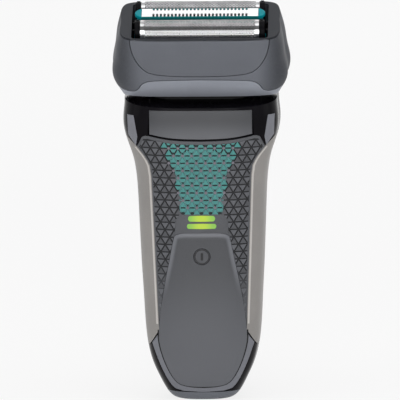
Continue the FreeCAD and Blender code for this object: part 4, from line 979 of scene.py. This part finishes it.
# ---------------------------------------------------------------- triangle field
PAD_TAPER = 0.84            # a pad's top against its foot
TIP_SHARE = 0.66            # how far down its row a cell's lower tip is marked
STAR_SHARE = 0.34           # from there down to the lattice's corner, as a share of a row
DASH = (0.5, 0.56, 0.46)    # a dash: share of a pad's width, then its width and depth in mm
DASH_RISE = 0.06            # a dash's middle over the skin
DASH_DROP = 0.05            # and under the line between two rows
NOTCH_SHARE = 0.36          # a notch against a cell
NOTCH_DEPTH = (-0.1, 0.28)
STAR_SIZE = (0.62, 0.36)    # radius and depth of the six-sided star
STAR_RISE = 0.08            # its middle over the skin


def triangle_pad(width, row, groove, bottom, top, turn):
    """One pad of the field: a three-sided frustum with its cell's proportions."""
    slant = math.hypot(width / 2, row)
    inside = width * row / (width + 2 * slant)
    share = 1.0 - groove / 2 / inside
    pad = primitive("cone", (width / math.sqrt(3.0) * share, row / 1.5 * share, 1.0),
                    vertices=3, radius1=1.0, radius2=PAD_TAPER, depth=top - bottom,
                    location=(0.0, 0.0, (top + bottom) / 2))
    pad.data.transform(Matrix.Rotation(turn, 4, "Z"))
    return pad


class TriangleField:
    """The field's outline and cells, and the skin that it lies on."""

    def __init__(self, grip):
        self.grip = grip
        self.skin = Skin("grip_panel")
        self.low = FIELD_SIDE[-1][1]
        self.high = max(z for _, z in FIELD_TOP)
        self.outline = both_sides(softened(FIELD_TOP) + softened(FIELD_SIDE)[1:]
                                  + softened(FIELD_FOOT)[1:] + list(FIELD_NOTCH[1:]))

    def cells(self):
        """The middle of each cell, whether it points down, and the middle of its top edge."""
        width, row = self.grip.pad_mm, self.grip.row_mm
        rows = int((self.grip.first_row_mm - self.low) / row) + 1
        for k in range(rows):
            top = self.grip.first_row_mm - k * row
            shift = 0.0 if k % 2 else 0.5
            for i in range(-8, 8):
                x = (i + shift) * width
                yield (x, top - row / 3), True, (x, top)
                yield (x + width / 2, top - row * 2 / 3), False, (x + width / 2, top)

    def is_teal(self, spot):
        """Whether a cell's middle lies in the teal part."""
        x, z = spot
        return z > TEAL_EDGE[0][0] and abs(x) < half_width(TEAL_EDGE, z)

    def teal_tops(self):
        """The middle of the top edge of each teal cell that points down."""
        return [top for spot, down, top in self.cells() if down and self.is_teal(spot)]

    def fade(self, z):
        """Full height at the top of the field, and nothing at its lower end."""
        share = (z - self.grip.fade_end_mm) / (self.grip.fade_top_mm - self.grip.fade_end_mm)
        return max(0.0, min(1.0, share))


class SHAVER_OT_grip_field(Operator):
    """Lay the field of triangle pads on the grip panel, teal in the middle"""

    bl_idname = "shaver.grip_field"
    bl_label = "Triangle field"

    def execute(self, context):
        grip = context.scene.shaver_grip
        colours = context.scene.shaver_colours
        field = TriangleField(grip)
        # The pads that point down are painted paler than those that point up; both kinds stand
        # equally high.
        darker_pads = satin_plastic("pad_plastic", shade(colours.panel, 0.95), roughness=0.5)
        paler_pads = satin_plastic("pale_pad_plastic", shade(colours.panel, 1.35), roughness=0.5)
        teal_pads = satin_plastic("teal_pad_plastic", colours.teal_pads, roughness=0.45)
        kinds = (
            ("grip_pads_up", False, False, "panel_grey", darker_pads),
            ("grip_pads_down", True, False, "panel_grey", paler_pads),
            ("teal_pads_up", False, True, "teal", teal_pads),
            ("teal_pads_down", True, True, "teal", teal_pads),
        )
        for name, down, teal, slot, finish in kinds:
            spots = [spot for spot, points_down, _ in field.cells()
                     if points_down == down and field.is_teal(spot) == teal]
            pad = triangle_pad(grip.pad_mm, grip.row_mm, grip.groove_mm, SUNK, grip.rise_mm,
                               math.pi if down else 0.0)
            pads = copies(pad, spots, name)
            cut(pads, outline_tool(field.outline), "INTERSECT")
            field.skin.drape(pads, field.fade)
            hand_over(pads, "handle", slot, finish)
        return {"FINISHED"}


class SHAVER_OT_field_floors(Operator):
    """Lay the floor of the grooves, darkened with painted shade, and the teal floor between the
    teal pads
    """

    bl_idname = "shaver.field_floors"
    bl_label = "Field floors"

    def execute(self, context):
        grip = context.scene.shaver_grip
        colours = context.scene.shaver_colours
        field = TriangleField(grip)
        floor = laid_plate("groove_shade_floor", field.skin, field.outline, half=26.0,
                           low=field.low - MARGIN, high=field.high + MARGIN, cell=1.0,
                           rise=0.03, fade=field.fade)
        hand_over(floor, "handle", "panel_grey",
                  groove_shade_floor("groove_shade_plastic", colours.panel, grip))

        low, high = TEAL_FLOOR
        edge = [(half + 0.1, z) for z, half in reversed(TEAL_EDGE)][1:-1]
        outline = both_sides([(0.0, high)] + edge + [(TEAL_EDGE[0][1], low), (0.0, low)])
        sheet = laid_plate("teal_floor", field.skin, outline, half=17.0, low=74.0, high=104.0,
                           cell=1.0, rise=0.06)
        hand_over(sheet, "handle", "teal",
                  satin_plastic("teal_floor_plastic", FLOOR_TEAL, roughness=0.6))
        return {"FINISHED"}


class SHAVER_OT_teal_marks(Operator):
    """Lay the dashes, notches and small stars between the teal pads"""

    bl_idname = "shaver.teal_marks"
    bl_label = "Teal marks"

    def execute(self, context):
        grip = context.scene.shaver_grip
        field = TriangleField(grip)
        dark = satin_plastic("notch_plastic", NOTCH_BLACK, roughness=0.6)
        grey = satin_plastic("star_plastic", STAR_GREY, roughness=0.5)
        tops = field.teal_tops()
        tips = [(x, z - grip.row_mm * TIP_SHARE) for x, z in tops]
        corners = [(x, z - grip.row_mm * STAR_SHARE) for x, z in tips]

        dash = primitive("cube", (grip.pad_mm * DASH[0], *DASH[1:]), size=1.0,
                         location=(0.0, 0.0, DASH_RISE))
        dash.data.transform(Matrix.Translation((0.0, -DASH_DROP, 0.0)))
        finished(dash, "BEVEL", width=0.2, segments=2)
        notch = triangle_pad(grip.pad_mm * NOTCH_SHARE, grip.row_mm * NOTCH_SHARE, 0.0,
                             *NOTCH_DEPTH, math.pi)
        star = primitive("cylinder", vertices=6, radius=STAR_SIZE[0], depth=STAR_SIZE[1],
                         location=(0.0, 0.0, STAR_RISE))
        for shape, spots, name, slot, finish in (
                (dash, [spot for spot in tops if spot[1] < FIELD_TOP[0][1]],
                 "teal_dashes", "black_plastic", dark),
                (notch, tips, "teal_notches", "black_plastic", dark),
                (star, [spot for spot in corners if spot[1] > TEAL_EDGE[0][0] + MARGIN],
                 "lattice_stars", "panel_grey", grey)):
            marks = copies(shape, spots, name)
            field.skin.drape(marks)
            hand_over(marks, "handle", slot, finish)
        return {"FINISHED"}


# ---------------------------------------------------------------- beads
class SHAVER_OT_grip_beads(Operator):
    """Lay a painted highlight along the inner edge of each side grip: a thin bright champagne
    strip
    """

    bl_idname = "shaver.grip_beads"
    bl_label = "Grip beads"

    def execute(self, context):
        grip = context.scene.shaver_grip
        # Painted highlight: champagne painted nearly twice as bright, for the light that the
        # grip's rounded inner edge catches.
        bright = metallic_paint("bead_highlight_paint", shade(context.scene.shaver_colours.champagne, 1.9))
        edge = softened(GRIP_EDGE)
        low, high = GRIP_EDGE[-1][1], GRIP_EDGE[0][1]
        for name in ("side_grip_left", "side_grip_right"):
            side = math.copysign(1.0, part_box(name)[0][0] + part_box(name)[1][0])
            inner = [(side * (x + grip.bead_gap_mm), z) for x, z in edge]
            outer = [(side * (x + grip.bead_gap_mm + grip.bead_mm), z) for x, z in reversed(edge)]
            bead = laid_plate(name.replace("side_grip", "grip_bead"), Skin(name), inner + outer,
                              half=27.0, low=low - MARGIN, high=high + MARGIN, cell=0.9, rise=0.06)
            hand_over(bead, "handle", "champagne", bright)
        return {"FINISHED"}


# ---------------------------------------------------------------- thumb panel
# All in millimetres.
PULL = 0.9                  # how far in from the panel's edge its skin is read
COVER_DEPTH = 1.2           # thickness of the panel's cover
COVER_TOP = -0.5            # what lies higher than this in the flat cover is its outer face
RING_WIRE = 0.22            # half width of the ring's line
RING_FLATNESS = 0.3         # the ring's height against its width
BAR_DEPTH = 0.12
LINE_RUN = (17.0, 17.5)     # half widths over which the foot line turns from flat to upright
LINE_ABOVE = 2.0            # how far over the foot its inside is cut away


def nearest_on(outline, x, z):
    """The distance to a closed outline, and the nearest point on it."""
    best = None
    for (x0, z0), (x1, z1) in zip(outline, outline[1:] + outline[:1]):
        along_x, along_z = x1 - x0, z1 - z0
        share = ((x - x0) * along_x + (z - z0) * along_z) / (along_x ** 2 + along_z ** 2)
        share = max(0.0, min(1.0, share))
        near = (x0 + share * along_x, z0 + share * along_z)
        gap = math.hypot(x - near[0], z - near[1])
        if best is None or gap < best[0]:
            best = (gap, near)
    return best


def pulled_in(spot):
    """A point of the thumb panel's outline, moved a little towards the panel's middle line."""
    middle = (0.0, max(THUMB_FOOT[2][1], min(THUMB_TOP[3][1], spot[1])))
    reach = math.hypot(middle[0] - spot[0], middle[1] - spot[1])
    return tuple(a + (b - a) * PULL / reach for a, b in zip(spot, middle))


def power_button():
    """The middle of the power button as X and height, and its half width, in millimetres."""
    low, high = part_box("power_button")
    middle = ((low[0] + high[0]) / 2 / MM, (low[2] + high[2]) / 2 / MM)
    return middle, (high[0] - low[0]) / 2 / MM


class SHAVER_OT_thumb_panel(Operator):
    """Model the thumb panel with its wide rounded rim"""

    bl_idname = "shaver.thumb_panel"
    bl_label = "Thumb panel"

    def execute(self, context):
        thumb = context.scene.shaver_thumb
        outline = both_sides(softened(THUMB_TOP, 2) + softened(THUMB_FOOT, 2)[1:])
        low, high = THUMB_FOOT[-1][1], THUMB_TOP[0][1]
        panel = plate_of_cells(half=18.0, low=low - MARGIN, high=high + MARGIN,
                               cell=thumb.cell_mm, bottom=-COVER_DEPTH, top=0.0)
        panel.name = "thumb_panel_cover"
        cut(panel, outline_tool(outline), "INTERSECT")
        button, half = power_button()
        hole = primitive("cylinder", vertices=64, radius=half + thumb.button_gap_mm,
                         depth=2 * TOOL_REACH, location=(*button, 0.0))
        cut(panel, hole, "DIFFERENCE")
        rim = []

        def rounded(x, z, rise):
            """The rim falls away to the grip panel; the flat part keeps the skin's height."""
            gap, near = nearest_on(outline, x, z)
            share = min(1.0, gap / thumb.rim_mm)
            outer = rise > COVER_TOP
            rim.append(1.0 - share if outer else 0.0)
            if outer:
                rise = -thumb.drop_mm * (1.0 - math.sin(share * math.pi / 2))
            return rise, (x, z) if gap > PULL else pulled_in(near)

        Skin("thumb_panel").drape(panel, height=rounded)
        hold_values(panel, "rim", rim)
        smooth(panel, 40.0)
        plastic = thumb_plastic("thumb_panel_painted_light", context.scene.shaver_colours.panel)
        hand_over(panel, "handle", "panel_grey", plastic, "thumb_panel")
        return {"FINISHED"}


class SHAVER_OT_foot_gap(Operator):
    """Lay the dark line between the thumb panel's foot and the trim round it"""

    bl_idname = "shaver.foot_gap"
    bl_label = "Foot gap"

    def execute(self, context):
        width = context.scene.shaver_thumb.line_mm
        foot = softened(THUMB_FOOT, 2)
        low, high = THUMB_FOOT[-1][1], THUMB_FOOT[0][1]
        wider = [(x + width * x / LINE_RUN[0], z - width * (1.0 - x / LINE_RUN[1]))
                 for x, z in foot]
        above = [(0.0, high + LINE_ABOVE), (foot[0][0], high + LINE_ABOVE)]
        line = plate_of_cells(half=19.0, low=low - 2 * MARGIN, high=high, cell=0.5,
                              bottom=SUNK, top=0.04)
        line.name = "foot_gap"
        cut(line, outline_tool(both_sides([(0.0, high)] + wider)), "INTERSECT")
        cut(line, outline_tool(both_sides(above + foot)), "DIFFERENCE")
        Skin("lower_trim").drape(line)
        hand_over(line, "handle", "black_plastic",
                  satin_plastic("gap_black", GAP_BLACK, roughness=0.7))
        return {"FINISHED"}


class SHAVER_OT_power_mark(Operator):
    """Model the ring and bar on the power button"""

    bl_idname = "shaver.power_mark"
    bl_label = "Power mark"

    def execute(self, context):
        thumb = context.scene.shaver_thumb
        button, _ = power_button()
        ring = primitive("torus", major_segments=64, minor_segments=8, major_radius=thumb.ring_mm,
                         minor_radius=RING_WIRE, location=(*button, 0.0))
        ring.data.transform(Matrix.Diagonal((1.0, 1.0, RING_FLATNESS, 1.0)))
        bar = primitive("cylinder", vertices=24, radius=thumb.bar_mm, depth=BAR_DEPTH,
                        location=(*button, 0.0))
        for vertex in bar.data.vertices:
            vertex.co.y += math.copysign(thumb.bar_reach_mm, vertex.co.y - button[1])
        mark = joined([ring, bar], "power_mark")
        Skin("power_button").drape(mark)
        hand_over(mark, "power_key", "black_plastic",
                  satin_plastic("mark_ink", MOULDED_BLACK, roughness=0.5, grain=0.1))
        return {"FINISHED"}


# ---------------------------------------------------------------- studio
LIT_POINT = (0.0, 0.0, 0.08)
# Name, place, power in watts, width and height of each soft lamp.
LAMPS = (
    ("front_softbox", (-0.05, -1.25, 0.3), 5.7, 0.7, 0.9),
    ("left_softbox", (-0.95, -0.35, 0.45), 0.9, 0.5, 1.0),
    ("right_softbox", (0.95, -0.3, 0.45), 1.0, 0.5, 1.0),
    ("top_softbox", (0.0, -0.25, 1.1), 3.2, 1.0, 0.6),
    ("back_softbox", (0.1, 1.1, 0.7), 3.0, 1.0, 0.8),
)
# The room's level from straight below to straight above, and its strength.
ROOM_LEVELS = ((0.0, 0.30), (0.2, 0.25), (0.6, 0.65), (1.0, 0.8))
ROOM_STRENGTH = 0.6
WHITE = (1.0, 1.0, 1.0)
FLOOR_SIZE = 8.0
FLOOR_OWN_LIGHT = 0.8       # share of plain white in what is seen of the floor


def floor_material(name, colour):
    """A floor that looks white to the camera and in mirrors, and still shows the shadow."""
    finish = Finish(name, Roughness=0.9)
    finish.set(Base_Color=finish.blend(finish.noise(3.0), shade(colour, 0.99), colour))
    plain = finish.node("ShaderNodeEmission", {}, WHITE, 1.0)
    shader = Signal(finish, finish.shader.outputs[0])
    mixed = finish.node("ShaderNodeMixShader", {}, finish.seen() * FLOOR_OWN_LIGHT, shader, plain)
    finish.feed(finish.tree.nodes["Material Output"].inputs["Surface"], mixed)
    return finish.material


def studio_world():
    """White to the camera; for everything else a soft room, brighter overhead than in front."""
    world = bpy.data.worlds.new("studio_world")
    world.use_nodes = True
    work = NodeWork(world.node_tree)
    place = work.node("ShaderNodeTexCoord", {})
    up = work.node("ShaderNodeSeparateXYZ", {}, place, output=2)
    stops = [(spot, (level, level, level)) for spot, level in ROOM_LEVELS]
    tone = work.node("ShaderNodeValToRGB", {"stops": stops}, up)
    plain = world.node_tree.nodes["Background"]
    work.feed(plain.inputs["Color"], tone)
    work.feed(plain.inputs["Strength"], ROOM_STRENGTH)
    room = Signal(work, plain.outputs[0])
    white = work.node("ShaderNodeBackground", {}, WHITE, 1.0)
    mixed = work.node("ShaderNodeMixShader", {}, work.seen(), room, white)
    work.feed(work.tree.nodes["World Output"].inputs["Surface"], mixed)
    return world


def soft_lamp(scene, name, place, power, width, height):
    """A rectangular lamp that faces the shaver."""
    data = bpy.data.lights.new(name, "AREA")
    data.shape = "RECTANGLE"
    data.size, data.size_y = width, height
    data.energy = power
    lamp = bpy.data.objects.new(name, data)
    scene.collection.objects.link(lamp)
    lamp.location = place
    lamp.rotation_euler = (Vector(LIT_POINT) - Vector(place)).to_track_quat("-Z", "Y").to_euler()


def studio_camera(scene, studio):
    """The camera, turned round the aim point, looking down on it and rolled a little."""
    data = bpy.data.cameras.new("studio_camera")
    data.sensor_width = 36.0
    data.lens = data.sensor_width / 2 / math.tan(studio.angle / 2)
    data.clip_start, data.clip_end = 0.05, 20.0
    camera = bpy.data.objects.new("studio_camera", data)
    scene.collection.objects.link(camera)
    outwards = Vector((math.sin(studio.azimuth) * math.cos(studio.elevation),
                       -math.cos(studio.azimuth) * math.cos(studio.elevation),
                       math.sin(studio.elevation)))
    turn = (-outwards).to_track_quat("-Z", "Y").to_matrix() @ Matrix.Rotation(studio.roll, 3, "Z")
    place = Vector(studio.aim) + outwards * studio.distance
    camera.matrix_world = Matrix.LocRotScale(place, turn.to_quaternion(), None)
    return camera


class SHAVER_OT_studio(Operator):
    """Put up the floor, the soft lamps, the world and the camera"""

    bl_idname = "shaver.studio"
    bl_label = "Studio"

    def execute(self, context):
        scene = context.scene
        floor = primitive("plane", size=FLOOR_SIZE)
        floor.name = "studio_floor"
        floor.data.materials.append(floor_material("pale_floor", (0.9, 0.9, 0.9)))
        for lamp in LAMPS:
            soft_lamp(scene, *lamp)
        scene.world = studio_world()
        scene.camera = studio_camera(scene, scene.shaver_studio)
        scene.view_settings.view_transform = "Standard"
        return {"FINISHED"}


class SHAVER_PT_looks(Panel):
    """The shaver's looks, piece by piece"""

    bl_idname = "SHAVER_PT_looks"
    bl_label = "Foil shaver"
    bl_space_type = "VIEW_3D"
    bl_region_type = "UI"
    bl_category = "Shaver"

    def draw(self, context):
        for name, group in SETTINGS.items():
            box = self.layout.box()
            for key in group.__annotations__:
                box.prop(getattr(context.scene, name), key)
        for operator in OPERATORS:
            self.layout.operator(operator.bl_idname)


OPERATORS = (
    SHAVER_OT_finishes,
    SHAVER_OT_foils,
    SHAVER_OT_comb,
    SHAVER_OT_grip_field,
    SHAVER_OT_field_floors,
    SHAVER_OT_teal_marks,
    SHAVER_OT_grip_beads,
    SHAVER_OT_thumb_panel,
    SHAVER_OT_foot_gap,
    SHAVER_OT_power_mark,
    SHAVER_OT_studio,
)


def register():
    for group in SETTINGS.values():
        bpy.utils.register_class(group)
    for name, group in SETTINGS.items():
        setattr(bpy.types.Scene, name, PointerProperty(type=group))
    for cls in OPERATORS + (SHAVER_PT_looks,):
        bpy.utils.register_class(cls)


def unregister():
    for cls in reversed(OPERATORS + (SHAVER_PT_looks,)):
        bpy.utils.unregister_class(cls)
    for name in SETTINGS:
        delattr(bpy.types.Scene, name)
    for group in SETTINGS.values():
        bpy.utils.unregister_class(group)


def main():
    register()
    for operator in OPERATORS:
        module, call = operator.bl_idname.split(".")
        if getattr(getattr(bpy.ops, module), call)() != {"FINISHED"}:
            raise RuntimeError(f"{operator.bl_label} did not finish")


if __name__ == "__main__":
    main()
